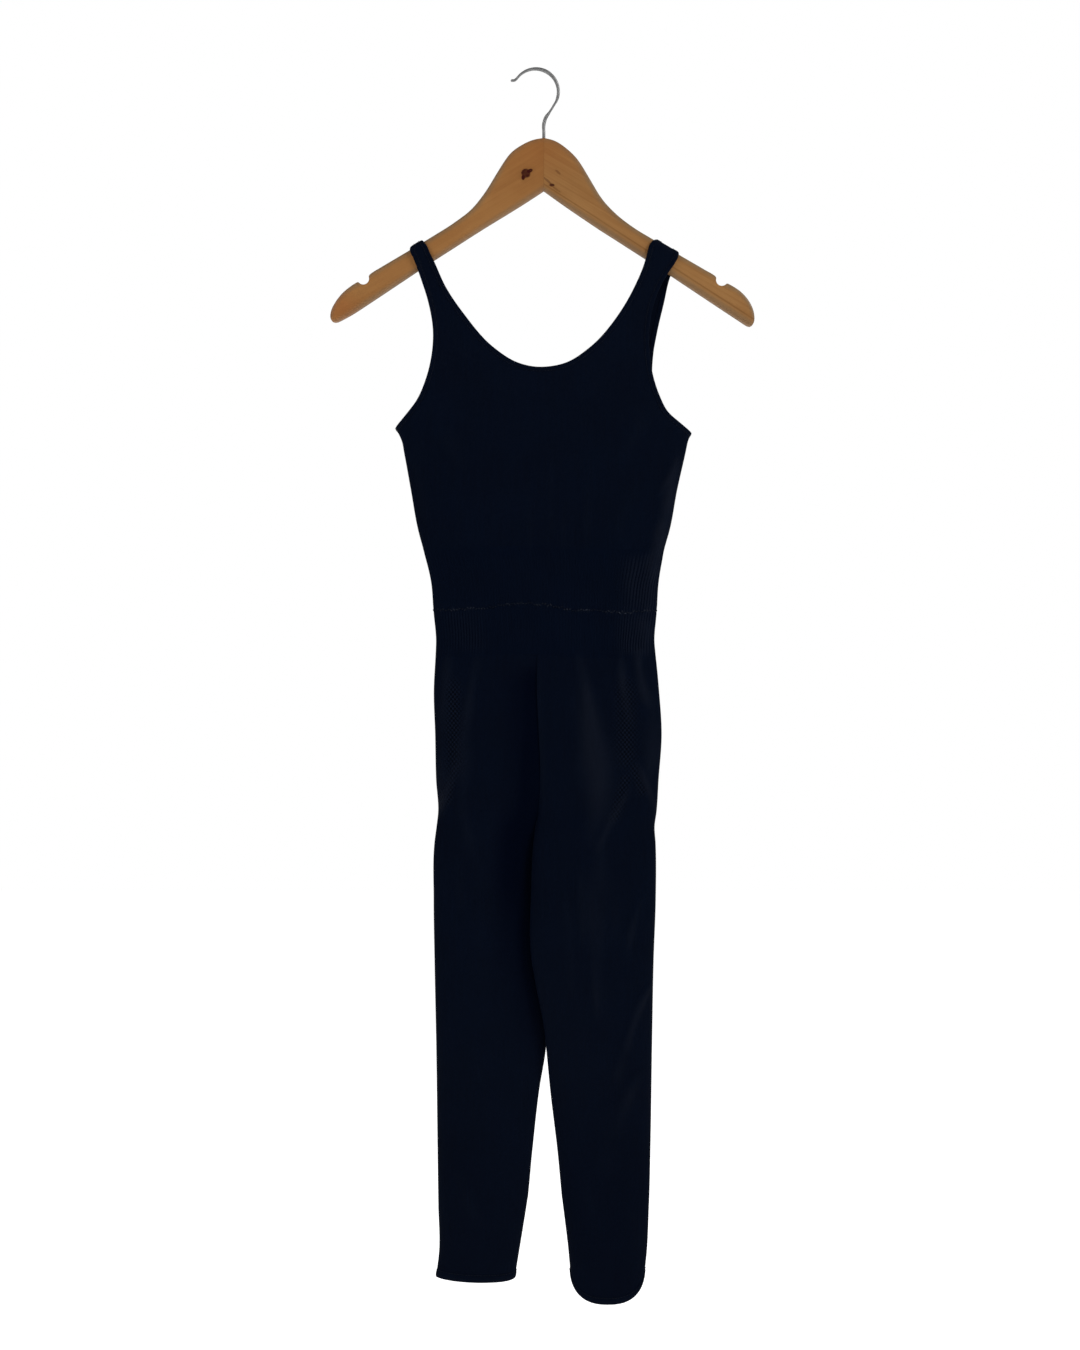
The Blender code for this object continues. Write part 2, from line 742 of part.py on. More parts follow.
def level_normals(points, normals, rows):
    """Turns the normals of a leg tube's last rows level and square to the row's own line."""
    count = 2 * LEG_COLUMNS
    for start in range(len(points) - rows * count, len(points), count):
        row = slice(start, start + count)
        along = np.roll(points[row], -1, axis=0) - np.roll(points[row], 1, axis=0)
        level = np.stack([along[:, 1], -along[:, 0], 0 * along[:, 0]], axis=1)
        level /= np.linalg.norm(level, axis=1)[:, None]
        normals[row] = level * np.sign((level * normals[row]).sum())
    return normals


# ---------------------------------------------------------------- hanger


def arm_outline(side):
    """Half of the hanger's outline, from the mitre along the top to the tip and back below."""
    sign = -1.0 if side == "left" else 1.0
    top = left_wood_top if side == "left" else right_wood_top
    reaches = np.concatenate([CROWN_REACHES, ARM_REACHES])
    points = [(sign * reach, float(top(reach))) for reach in reaches]
    notch_x, notch_z = NOTCH_CENTRE[side]
    start = math.atan2(float(top(abs(notch_x) - NOTCH_RADIUS)) - notch_z, NOTCH_RADIUS)
    for turn in np.linspace(start, -math.radians(NOTCH_SWEEP), NOTCH_POINTS):
        x = notch_x - sign * NOTCH_RADIUS * math.cos(turn)
        points.append((x, notch_z + NOTCH_RADIUS * math.sin(turn)))
    points += list(dense_route(ARM_END[side], END_POINTS))
    points += [(sign * reach, float(wood_under(reach))) for reach in UNDER_REACHES]
    return points


def hanger_blank():
    """The whole wooden part as layers of one outline, drawn in towards both faces."""
    left = arm_outline("left")
    right = arm_outline("right")
    outline = np.array(left[::-1][:-1] + right[:-1])
    along = np.roll(outline, -1, axis=0) - np.roll(outline, 1, axis=0)
    along /= np.linalg.norm(along, axis=1)[:, None]
    inwards = np.stack([along[:, 1], -along[:, 0]], axis=1)
    half = HANGER_THICK / 2
    layers = []
    for turn in np.radians([0, 30, 60, 90]):
        inset = HANGER_ROUND * (1 - math.sin(turn))
        layers.append((inset, half - HANGER_ROUND * (1 - math.cos(turn))))
    levels = [(inset, -y) for inset, y in layers] + [(inset, y) for inset, y in layers[::-1]]
    shape = bmesh.new()
    rings = []
    for inset, y in levels:
        ring = outline + inwards * inset
        rings.append([shape.verts.new((x * MM, y * MM, z * MM)) for x, z in ring])
    count = len(outline)
    for below, above in zip(rings, rings[1:]):
        for i in range(count):
            j = (i + 1) % count
            shape.faces.new((below[i], below[j], above[j], above[i]))
    shape.faces.new(rings[0][::-1])
    shape.faces.new(rings[-1])
    bmesh.ops.recalc_face_normals(shape, faces=shape.faces)
    return shape


def hanger_arm(side, blank, bore, material):
    """Half of the wooden part, cut off at the mitre, with half of the stem's bore."""
    shape = blank.copy()
    sign = -1.0 if side == "left" else 1.0
    geometry = shape.verts[:] + shape.edges[:] + shape.faces[:]
    cut = bmesh.ops.bisect_plane(
        shape, geom=geometry, plane_co=(sign * SEAM_GAP / 2 * MM, 0, 0),
        plane_no=(-sign, 0, 0), clear_outer=True,
    )
    edges = [item for item in cut["geom_cut"] if isinstance(item, bmesh.types.BMEdge)]
    bmesh.ops.contextual_create(shape, geom=edges)
    bmesh.ops.recalc_face_normals(shape, faces=shape.faces)
    mesh = bpy.data.meshes.new(f"hanger_arm_{side}")
    shape.to_mesh(mesh)
    shape.free()
    mesh.materials.append(material)
    obj = bpy.data.objects.new(f"hanger_arm_{side}", mesh)
    obj.location.x = CENTRE_X * MM
    bpy.context.scene.collection.objects.link(obj)
    mesh.shade_smooth()
    mesh.set_sharp_from_angle(angle=math.radians(40))
    bored = obj.modifiers.new("bore", "BOOLEAN")
    bored.operation = "DIFFERENCE"
    bored.object = bore
    return obj


def stem_bore():
    """The cutter for the hook's stem."""
    shape = bmesh.new()
    radius = (WIRE_RADIUS + STEM_CLEARANCE) * MM
    place = Matrix.Translation(Vector((0, 0, (STEM_END - SEAM_GAP + BORE_LENGTH / 2) * MM)))
    bmesh.ops.create_cone(
        shape, cap_ends=True, segments=16, radius1=radius, radius2=radius,
        depth=BORE_LENGTH * MM, matrix=place,
    )
    mesh = bpy.data.meshes.new("stem_bore")
    shape.to_mesh(mesh)
    shape.free()
    cutter = bpy.data.objects.new("stem_bore", mesh)
    cutter.location.x = CENTRE_X * MM
    cutter.hide_render = True
    cutter.display_type = "WIRE"
    bpy.context.scene.collection.objects.link(cutter)
    return cutter


def hook_route():
    """The wire's centre line: a small outward curl, the round hook, a bend back to the stem."""
    centre_z = WIRE_RADIUS - HOOK_RADIUS
    round_part = []
    for turn in np.radians(np.linspace(*HOOK_ANGLES, HOOK_POINTS)):
        x = HOOK_RADIUS * math.cos(turn)
        round_part.append((x, centre_z + HOOK_RADIUS * math.sin(turn)))
    curl = dense_route(HOOK_CURL + (round_part[0],), CURL_POINTS)
    bend = dense_route((round_part[-1],) + HOOK_BEND, BEND_POINTS)
    return list(curl[:-1]) + round_part + list(bend[1:]) + [(CENTRE_X, STEM_END)]


def hanger_hook(material):
    wire = bpy.data.curves.new("hanger_hook", "CURVE")
    wire.dimensions = "3D"
    wire.bevel_depth = WIRE_RADIUS * MM
    wire.bevel_resolution = 2
    wire.use_fill_caps = True
    route = hook_route()
    spline = wire.splines.new("POLY")
    spline.points.add(len(route) - 1)
    for point, (x, z) in zip(spline.points, route):
        point.co = (x * MM, 0, z * MM, 1)
    wire.materials.append(material)
    obj = bpy.data.objects.new("hanger_hook", wire)
    bpy.context.scene.collection.objects.link(obj)
    return obj


# ---------------------------------------------------------------- the object


def make_material(name, colour, roughness, metallic=0.0):
    material = bpy.data.materials.new(name)
    material.use_nodes = True
    shader = material.node_tree.nodes["Principled BSDF"]
    shader.inputs["Base Color"].default_value = (*colour, 1)
    shader.inputs["Roughness"].default_value = roughness
    shader.inputs["Metallic"].default_value = metallic
    return material


def main():
    for obj in list(bpy.data.objects):
        bpy.data.objects.remove(obj)

    knit = make_material("navy knit", (0.0018, 0.0034, 0.0095), 0.9)
    rib = make_material("navy rib", (0.0024, 0.0042, 0.0115), 0.9)
    wood = make_material("pine", (0.34, 0.155, 0.05), 0.45)
    steel = make_material("polished wire", (0.55, 0.55, 0.56), 0.2, 1.0)

    bodice_panel("front", knit)
    bodice_panel("back", knit)
    neck_binding(rib)
    rib_tube("waist_rib_upper", RIB_TOP, WAIST_SEAM, rib)
    rib_tube("waist_rib_lower", WAIST_SEAM, RIB_BOTTOM, rib)
    blank = hanger_blank()
    bore = stem_bore()
    for side in ("left", "right"):
        armhole_binding(side, rib)
        leg(side, knit)
        hem(side, rib)
        hanger_arm(side, blank, bore, wood)
    blank.free()
    hanger_hook(steel)


main()
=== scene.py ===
"""The looks of a sleeveless knit jumpsuit that hangs by its straps from a wooden hanger.

Laid out as an add-on and run as a script. The frame it stands on holds the solid parts. The
tables below are in millimetres: x from the centre line of the hanger, heights from the inside
top of the hook, down being negative. The garment's front faces -Y. Left and right are as seen
from the front.
"""

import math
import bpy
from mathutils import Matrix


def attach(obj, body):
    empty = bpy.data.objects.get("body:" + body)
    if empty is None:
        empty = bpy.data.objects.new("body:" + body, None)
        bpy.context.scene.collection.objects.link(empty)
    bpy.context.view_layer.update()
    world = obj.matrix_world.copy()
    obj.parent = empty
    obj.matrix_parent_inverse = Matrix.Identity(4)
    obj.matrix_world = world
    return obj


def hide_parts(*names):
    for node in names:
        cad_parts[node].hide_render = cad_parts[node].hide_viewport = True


bl_info = {
    "name": "Jumpsuit on a wooden hanger",
    "version": (1, 0, 0),
    "blender": (4, 5, 0),
    "location": "View3D > Sidebar > Jumpsuit",
    "description": "Makes a sleeveless knit jumpsuit on a hanger, with its stage",
    "category": "Add Mesh",
}

import bmesh
import bpy
import numpy as np
from bpy.props import FloatProperty, FloatVectorProperty, IntProperty, PointerProperty
from mathutils import Vector

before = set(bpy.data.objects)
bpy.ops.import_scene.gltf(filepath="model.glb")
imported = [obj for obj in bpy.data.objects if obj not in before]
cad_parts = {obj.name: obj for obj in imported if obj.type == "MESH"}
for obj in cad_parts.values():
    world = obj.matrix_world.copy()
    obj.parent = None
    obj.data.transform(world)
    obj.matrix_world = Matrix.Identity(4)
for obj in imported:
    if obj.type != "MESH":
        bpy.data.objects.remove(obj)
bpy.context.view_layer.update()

MM = 0.001
TURN = 2 * math.pi

# The garment's centre line lies to one side of the hook's top
CENTRE_X = 8.7
BODY = "root"

# Heights of the seams
RIB_TOP = -502
WAIST_SEAM = -564.5
RIB_BOTTOM = -616
CROTCH = -785
# Below the crotch the wall rises ever nearer to its fold, down to here
LEG_PROPER = -1100
# How soon the seat closes at its centre seams on the way down
SEAT_CLOSING = 1.7
# How far up and down the waist seam's rise and fall reaches
ARCH_REACH = 60
# How far down the middle of the ribbed waist lies
WAIST_MIDDLE = 559
FOLD_RADIUS = 2.8

# How far the waist seam runs above its height, by x
WAIST_ARCH = (
    (-118, -3.4), (-90, -2.6), (-64, -1.2), (-32, 3.2), (0, 2.2), (33, -3.6), (62, -4.4),
    (84, -6.2), (104, -4.6), (120, -3.8),
)

# height, left side, right side, half depth
SIDES = (
    (-330, -157, 156, 10.5), (-376, -156, 156, 11), (-381, -153.4, 155, 11),
    (-390, -149.4, 151.8, 11), (-402, -147, 149.2, 11), (-441, -139.9, 140.4, 11),
    (-483, -132.2, 132.4, 10.5), (-502, -127, 126.9, 10), (-536, -118.4, 120.4, 9),
    (-565, -116, 118.6, 8.5), (-600, -113.2, 116.2, 9), (-616, -114, 118, 9.5),
    (-651, -115.7, 121.2, 11), (-699, -114.3, 124, 12), (-746, -113.3, 120.8, 12),
    (-781, -111.2, 118.5, 11.5), (-795, -112.8, 116.6, 11.5), (-812, -115, 117.6, 11),
    (-872, -115.9, 117.8, 10.5), (-935, -115, 115.6, 10.5), (-1026, -113.2, 113.9, 10),
    (-1135, -111.8, 112.2, 10), (-1198, -111, 110.6, 10), (-1246, -110.4, 108.2, 10),
    (-1266, -113.2, 105.6, 10),
)

# Centre seam and the inner folds of the legs.
# height, left leg, right leg, forward swing of the inner fold, left rounding, right rounding
INNER = (
    (-616, -6.8, -6.8, 0, 26, 16), (-645, -4.4, -7.4, 0, 26, 16), (-700, -2, -5.2, 0, 28, 18),
    (-730, -0.6, -4, 0, 31, 21), (-760, -0.8, -4.4, 0, 34, 24), (-785, -2.4, -7, 1, 40, 30),
    (-798, -3.6, -9.2, 2.6, 42, 36), (-815, -4.6, -11.2, 4.3, 44, 40),
    (-862, -3, -13.3, 6.4, 48, 44), (-928, 2.5, -13.6, 7, 50, 46), (-967, 4, -7.2, 7, 52, 48),
    (-1006, 3.4, 0.2, 6, 52, 50), (-1029, 2.3, 2.6, 5, 50, 48), (-1072, -4.6, 6.7, 3, 48, 46),
    (-1135, -11.8, 14.2, 1.5, 46, 44), (-1198, -18.2, 20.3, 1, 42, 42),
    (-1246, -26.2, 26.2, 0.5, 40, 38), (-1266, -30, 28.2, 0, 40, 38),
)

# Garment edges, x and height, each from its lowest point up to the wood
ARMHOLES = {
    ("front", "left"): (
        (-156, -376), (-145.4, -364), (-132.8, -347.5), (-123.6, -326), (-117.6, -301),
        (-116.2, -275), (-120.6, -247.5), (-128.8, -221), (-136.4, -200), (-140.4, -190.4),
    ),
    ("back", "left"): (
        (-156, -376), (-145.4, -364), (-132.8, -347.5), (-123.6, -326), (-117.6, -301),
        (-115.8, -275), (-120.2, -247.5), (-128.4, -221), (-136.4, -200), (-140.4, -190.4),
    ),
    ("front", "right"): (
        (155, -381), (143.4, -372), (129.8, -360), (120.6, -342), (113.4, -318), (110.6, -295),
        (110.8, -272), (117.2, -241), (129.6, -216), (138, -203.5), (141, -197.4), (141.5, -193.8),
    ),
    ("back", "right"): (
        (155, -381), (143.4, -372), (129.8, -360), (120.8, -342), (115.2, -322), (115.6, -299),
        (120, -273), (127, -243), (133.4, -216), (138.6, -203.5), (141, -197.4), (141.5, -193.8),
    ),
}
NECKLINES = {
    ("front", "left"): (
        (-4, -313.5), (-27, -309), (-53, -292.5), (-83, -258.5), (-102.6, -229.5), (-115.2, -202),
        (-119.6, -193), (-122.8, -185.8),
    ),
    ("front", "right"): (
        (-4, -313.5), (23, -309), (48.5, -292.5), (78, -258.5), (96, -227), (104.8, -206),
        (108.8, -192), (110.8, -185.4), (114.2, -181),
    ),
    ("back", "left"): (
        (-4, -339), (-30, -333), (-58, -313), (-87, -272), (-105, -236), (-116.4, -204),
        (-120.4, -193), (-123.2, -185.8),
    ),
    ("back", "right"): (
        (-4, -339), (26, -333), (54, -313), (83, -272), (100, -234), (107, -208), (110, -192),
        (111.4, -185.6), (114.4, -181),
    ),
}
# x where the armhole edge and the neck edge cross the top of the hanger
CROSSINGS = {"left": (-140.2, -127.8), "right": (139.8, 119.6)}

# How a strap bends over the wood
STRAP_RISE = 2.8
STRAP_OUT = 8.2
STRAP_HUMP = {"left": 1.4, "right": 0.1}
BEND_DEPTH = 6.5
BEND_POWER = 2.5
STRAP_STARTS = -335
STRAP_FLAT = -245

# Hems: height at the outer corner, drop at the lowest place, height of the band, and how far
# the lowest place lies towards the inner fold
HEMS = {
    "left": (-1268.6, 3.6, 9, 1.7),
    "right": (-1266, 29, 8, 1),
}
HEM_BLEND = -1185
HEM_SOFTNESS = 0.05
HEM_SQUARENESS = 2.5
HEM_SAG = 1.15

# Creases of the front.
# start x and height, end x and height, sideways bow, half width, rise (a trough is negative)
FRONT_CREASES = (
    (8, -396, 7, -514, 0, 5, 0.36), (49, -412, 45, -514, 2, 5, 0.4),
    (35, -460, 35, -516, 0, 3, -0.5), (-63, -440, -60, -480, 0, 3.4, -0.4),
    (-46, -464, -44, -514, 0, 3, -0.4), (-55, -436, -58, -512, -2, 4, 0.25),
    (-88, -446, -95, -514, -3, 5, 0.25), (84, -438, 78, -512, 2, 6, 0.3),
    (20, -456, 21, -514, 0, 3.5, 0.4), (-15, -450, -14, -512, 0, 4, 0.4),
    (142, -409, 117, -452, -1, 3.4, 1.1), (143, -400, 121, -512, 2, 6, 2),
    (124, -472, 115, -536, 1, 5.5, 2.2), (126, -408, 108, -486, 3, 6, -0.25),
    (100, -404, 90, -492, 2, 8, 0.25), (114, -500, 109, -570, 1, 6.5, 1.6),
    (97, -516, 91, -560, 1, 5, 0.5), (105, -566, 107, -618, 0, 7, 1.5),
    (-140, -398, -122, -486, -2, 6, 0.5), (-112, -352, -76, -430, 5, 10, 0.35),
    (110, -350, 70, -424, -5, 10, 0.4), (-15, -700, -12, -880, 1, 8, -1.2),
    (34, -608, 51, -706, -2, 5.2, 1.6), (40, -644, 63, -798, -2, 14, 2.2),
    (64, -724, 50, -818, 4, 9, 0.8), (-67, -608, -83, -704, 2, 5, 1.15),
    (-83, -668, -85, -790, 0, 8, 0.9), (-98, -610, -106, -696, 2, 5, 1.3),
    (-107, -684, -106, -790, 0, 5, 1.1), (80, -608, 91, -690, 3, 3.8, 1.7),
    (99, -604, 112, -672, 5, 4.6, 2.1), (113, -650, 105, -764, -4, 8, 1.15),
    (93, -722, 120, -788, -2.5, 3.2, 1.6), (92, -752, 55, -824, 3, 3.2, 1.5),
    (-91, -724, -112, -788, 0, 3.6, 1.6), (-86, -766, -68, -840, 2, 6, 0.6),
    (114, -958, 86, -1030, 4, 3.8, 1.6), (90, -1016, 76, -1070, 3, 6, 0.6),
    (105, -1046, 76, -1118, 4, 6, 0.9), (69, -1080, 66, -1164, 0, 9, 0.4),
    (104, -866, 87, -934, 3, 3.4, 1), (38, -822, 61, -1000, -3, 9, 0.7),
    (38, -836, 41, -926, 0, 2.6, 0.6), (51, -930, 57, -1000, 0, 3, 0.8),
    (62, -880, 60, -930, 0, 3.4, 0.4), (20, -850, 30, -985, -2, 6, 0.45),
    (78, -840, 74, -930, 1, 7, 0.4), (60, -796, 57, -900, 0, 10, 0.7),
    (-58, -812, -66, -950, 3, 10, 0.25), (-92, -800, -88, -900, -2, 7, 0.3),
    (-30, -884, -44, -1010, -3, 8, 0.2), (-70, -1010, -62, -1120, 3, 10, 0.2),
    (-88, -1150, -64, -1216, 3, 7, 0.4), (44, -1150, 62, -1226, 3, 7, 0.25),
    (90, -1190, 99, -1244, -2, 6, 0.3),
)
# The same for the back
BACK_CREASES = (
    (8, -402, 5, -514, 0, 8, 0.8), (-44, -420, -40, -514, 1, 5, 0.7),
    (-24, -462, -25, -516, 0, 3.4, -0.6), (33, -468, 34, -514, 0, 3.4, -0.6),
    (62, -430, 66, -512, 2, 6, 0.5), (-80, -440, -84, -512, -2, 6, 0.5),
    (-132, -402, -112, -492, -3, 6, 1.1), (128, -404, 110, -486, 2, 7, 0.7),
    (-64, -350, -30, -430, 4, 12, 0.5), (70, -356, 36, -440, -4, 12, 0.5),
    (-52, -612, -66, -752, 2, 9, 1.2), (58, -612, 74, -738, -2, 8, 1.1),
    (-92, -612, -96, -680, 1, 5, 0.8), (94, -612, 98, -672, 2, 4.6, 0.8),
    (24, -760, 62, -812, 4, 7, 0.9), (-28, -770, -66, -822, -4, 7, 0.9),
    (-96, -946, -70, -1022, 4, 6, 1.1), (88, -940, 62, -1014, 3, 7, 1),
    (46, -820, 58, -960, -3, 9, 0.7), (-54, -830, -60, -960, 3, 9, 0.6),
    (-76, -1060, -58, -1150, 2, 8, 0.6), (84, -1070, 62, -1160, 2, 8, 0.6),
    (60, -1170, 78, -1232, 2, 7, 0.5), (-60, -1165, -80, -1228, 2, 7, 0.5),
)

# How much a crease's height goes up and down along it
CREASE_UNEVEN = 0.22

# The rise: the left half dips towards the seam and the right half stands up beside it.
# From and to height, left depth and width, right height and width
RISE_FOLD = (-604, -880, 1.3, 16, 0.4, 5)
# How far the lip stands to the right of the seam, and how strong the painted highlight along it is
LIP_PLACE = 2
LIP_HIGHLIGHT = 1.1
# The height of a ridge that gets the full painted highlight; a trough this deep gets the full
# painted shade
PAINT_FULL_RISE = 2.2
# Painted shade: the left leg is darker where it goes under the right one. Heights where that
# starts, is full, fades and ends
SHADE_HEIGHTS = (-606, -650, -900, -1080)
# Painted shades of the left leg: depth, the same four heights, far and near reach from the seam
LEFT_LEG_PAINTED_SHADES = (
    (1.44, *SHADE_HEIGHTS, 54, 14), (0.8, -770, -800, -845, -900, 56, 24),
    (0.3, -780, -830, -960, -1050, 17, 4),
)
# The painted shade in the strip by the seam: depth, reach, how much wider it gets, at what height
# and over what height
SEAM_STRIP_SHADE = (0.96, 17, 9, -775, 80)
# Painted shade: both legs are a little darker towards the hems: depth, and where that starts and is
# full
ANKLE_PAINTED_SHADE = {"left": 0.45, "right": 0.62}
ANKLE_HEIGHTS = (-1040, -1180)

# Openwork lines knitted in at the hips: start x and height, end x and height, half width
SHAPING = (
    (-95, -640, -94, -744, 8), (-94, -734, -103, -772, 5), (86, -640, 87, -734, 11),
    (92, -728, 104, -762, 5), (88, -738, 72, -790, 6),
)
SHAPING_RISE = 0.2
OPENWORK_SPACING = (4.2, 5)

# The hanger: distance from the mitre, left top, right top, underside
HANGER_THICK = 12
HANGER_ARM = (
    (0, -72.1, -72.1, -126.6), (12, -74.4, -75.3, -134.9), (24, -80.1, -83.3, -143),
    (36, -89.3, -95.3, -150.8), (48, -107.1, -114.7, -158.5), (60, -126.9, -134.7, -166.2),
    (74, -145.1, -150.3, -175), (92, -159.7, -164.7, -186.6), (116, -175.1, -179.5, -202),
    (150, -195.5, -199.5, -224.6), (183, -215.1, -218.7, -246.6),
)
NOTCH_RADIUS = 6.2
NOTCH_SWEEP = 150
# The wood's edges are sharper at the notch: share of their radius, from and to how far away
NOTCH_ROUND = 0.22
NOTCH_BLEND = (1, 14)
NOTCH_CENTRE = {"left": (-189.4, -220.3), "right": (186.8, -221.7)}
ARM_END = {
    "left": (
        (-194.6, -223.4), (-202.8, -228), (-210.6, -234.2), (-218.4, -243.8), (-224, -256),
        (-223.6, -263.8), (-219, -265.6), (-212.6, -262.6),
    ),
    "right": (
        (192.4, -225.2), (203, -230.6), (211, -237.6), (217.6, -247), (221.2, -258.8),
        (220.6, -266.8), (217.4, -270.2), (210, -266.4),
    ),
}
# The grain's slope in degrees
ARM_ANGLE = 31
# Each arm is from a board of its own
WOOD_TINT = {"left": (1, 1, 1), "right": (0.96, 1.03, 1.12)}
# Painted shade: the wood is darker and greyer along its rounded edges
EDGE_SHADE_COLOUR = (0.150, 0.103, 0.058)
# The left arm is a little slimmer than the right one
UNDER_SHIFT = {"left": 1.9, "right": -2}
# The line that the underside's painted shade and the right arm's thin darker line follow: slope in
# degrees, start
UNDER_ANGLE = 32.8
UNDER_START = 106.8
# Past the end of the table the underside runs on to this reach, with this slope
UNDER_REACH = 204
UNDER_SLOPE = 0.66
# Warmer wood round the crown: half width, half height, height; and at the left tip
CROWN = (46, 26, -84)
CROWN_COLOUR = (0.246, 0.086, 0.0205)
WARM_TIP = (-214, -250, 16, 14, 0.3, 0)
TIP_COLOUR = (0.28, 0.094, 0.0245)
# Marks in the wood: x, height, half width, half height, raggedness, tilt in degrees, strength
KNOTS = {
    "left": (
        (-18.8, -109.8, 4.9, 4.9, 0.7, 0, 1), (-14.8, -107.4, 3.4, 2, 0.6, -20, 1),
        (-21.6, -114.4, 2, 2.6, 0.5, 0, 1),
    ),
    "right": (
        (8.6, -122.2, 3, 1.6, 0.9, 0, 0.95), (14.9, -108.8, 3.4, 1.2, 0.8, 42, 0.35),
        (4, -117.8, 5.6, 1.2, 0.8, 42, 0.45), (13, -126.6, 6, 1, 0.8, 36, 0.3),
    ),
}

# The hook
WIRE_RADIUS = 1.6
HOOK_RADIUS = 24
# The wire is pressed and drawn: share of its length from the curl, share of its radius
WIRE_WIDTHS = (
    (0, 0.8), (0.05, 0.7), (0.15, 0.9), (0.27, 1.15), (0.4, 1), (0.5, 0.9), (0.55, 0.68),
    (0.62, 0.68), (0.66, 1.05), (0.72, 1.1), (0.76, 0.95), (1, 0.9),
)
WIRE_DRAWN = 1.08
HOOK_ANGLES = (140, -26)
HOOK_CURL = ((-24.8, -10.7), (-22.2, -10.5), (-20.1, -8.9))
HOOK_BEND = ((15, -43.6), (10.6, -50.2), (CENTRE_X, -57), (CENTRE_X, -66))
STEM_END = -97

# Waist seam: stitch length, and where its thread shows pale: x, half width, strength
SEAM_STITCH = 2.9
SEAM_PATCHES = (
    (-107, 3, 0.4), (-93, 5, 0.6), (-78, 6, 0.7), (-65, 3, 0.45), (-38, 3.5, 0.45),
    (-25, 4.5, 0.6), (-5, 4, 0.6), (5, 4, 0.5), (24, 4, 0.6), (42, 7, 0.75), (69, 5, 0.7),
    (82, 6.5, 1), (94, 4, 0.6), (109, 5, 0.8),
)

# How far the seam's stitches lean, in radians, and lie up or down, both from a fixed seed
SEAM_SLANT = 1.9
SEAM_SCATTER = 2.2
SEAM_SEED = 7
# Threads: share of the stitch's length, radius, how far they arch out of the cloth
SEAM_THREAD = (0.9, 0.62, 0.4)
BAND_THREAD = (0.82, 0.26, 0.42)
THREAD_SHAPE = (0.45, 0.9, 1, 1, 0.9, 0.45)
THREAD_SUNK = 0.15

# How far inside the cloth's edge the panels start, under the bands
PANEL_INSET = 5.75
# How far the pressed line of a band lies from its inner edge, how deep and how wide it is
GROOVE = 1.3
GROOVE_DEPTH = 0.16
GROOVE_WIDTH = 0.55
# How full a band's cut is across and outwards: less is squarer
BAND_FULLNESS = (0.42, 0.6)
# How much thinner it gets towards its inner edge, and from what share of its width
BAND_THINNED = (0.7, 0.45)

# Mesh densities
ROUTE_POINTS = 1200
PANEL_COLUMNS = 50
PANEL_EVENNESS = 0.45
LOWER_ROWS = 50
UPPER_ROWS = 92
BEND_ROWS = 14
LEG_COLUMNS = 56
SEAT_ROWS = 60
LEG_ROWS = 150
HEM_ROWS = 28
LOOP_POINTS = 900
RIB_STEP = 3.2
RIB_PHASES = (0, 0.1, 0.26, 0.5, 0.74, 0.9)
BAND_POINTS = 28
# Edges sharper than this, in degrees, aren't smoothed
CLOTH_SHARP = 65
WOOD_SHARP = 42

# Strong ribs at the right, the left and the back: share of the way round, spread, fall-off
RIB_ZONES = ((0.456, 0.045, 4), (0.07, 0.045, 4), (0.62, 0.08, 2))
# Height of the ridges, and the painted highlight on their crests and painted shade between them:
# all round, and what each zone adds
RIB_HEIGHTS = (0.42, 0.58, 0.35, 0.3)
RIB_PAINTED_LIGHT = (0.14, 0.72, 0.5, 0.3)
RIB_ROUNDNESS = 2.2
# The ribs lean where the cloth is pulled: how far, about what level, round what place, spread
RIB_LEAN = (0.020, 0.45, 0.465, 0.045)
RIB_WOBBLE = 0.0006
# How far from the upper and the lower end of the ribbed waist the ridges are full
RIB_FADE = (14, 12)

# Whether a side or a face lies at negative or positive x or y
SIGN = {"left": -1, "right": 1, "front": -1, "back": 1}

# name, place and size in metres, the setting of its power and its share of that
LIGHTS = (
    ("side_light", (1.9, -1.1, 1.0), 1.1, "side_power", 1),
    ("far_light", (-1.9, -1.0, 1.0), 1.1, "side_power", 0.52),
    ("front_light", (-1.2, -2.6, 0.9), 2.2, "front_power", 1),
    ("back_light", (0.6, 2.2, 0.6), 2.0, "front_power", 2),
)
# What the lights and the camera point at, in metres
VIEW_MIDDLE = (0.0047, 0, -0.636)


# ---- sizes and colours


def length_setting(name, description, default):
    """A size in metres, shown to a tenth of a millimetre."""
    return FloatProperty(
        name=name, description=description, default=default, min=0.0002, unit="LENGTH", precision=4
    )


def strength_setting(name, description, default, unit="NONE"):
    """A number that isn't negative."""
    return FloatProperty(name=name, description=description, default=default, min=0, unit=unit)


def colour_setting(name, description, default):
    """A colour of three channels."""
    return FloatVectorProperty(
        name=name, description=description, default=default, min=0, max=1, size=3, subtype="COLOR"
    )


class ClothSettings(bpy.types.PropertyGroup):
    """Sizes and colours of the knit, its bands and its threads"""

    wall: length_setting("Cloth thickness", "Thickness of the plain knit", 0.0013)
    rib_wall: length_setting("Rib thickness", "Thickness of the waist without its ridges", 0.0015)
    band_rise: length_setting("Band rise", "How far the bands stand out from the knit", 0.0008)
    crease_depth: strength_setting("Crease depth", "Strength of all creases", 1.5)
    rib_count: IntProperty(
        name="Ribs", description="Number of ribs round the waist", default=160, min=40
    )
    rib_depth: length_setting("Rib depth", "Height of the ribs' ridges", 0.0006)
    wale: length_setting("Wale width", "Width of one column of knit stitches", 0.0009)
    stitch: length_setting("Stitch length", "Spacing of the sewn stitches", 0.0030)
    knit_colour: colour_setting("Knit", "Colour of the plain knit", (0.00055, 0.0021, 0.0072))
    rib_colour: colour_setting(
        "Rib and bands", "Colour of the ribbed waist and the bands", (0.00055, 0.0021, 0.0072)
    )
    thread_colour: colour_setting(
        "Thread", "Colour of the stitches on the bands", (0.0042, 0.0060, 0.0130)
    )
    seam_colour: colour_setting(
        "Waist seam thread", "Colour of the palest loops of the waist seam", (0.021, 0.026, 0.039)
    )


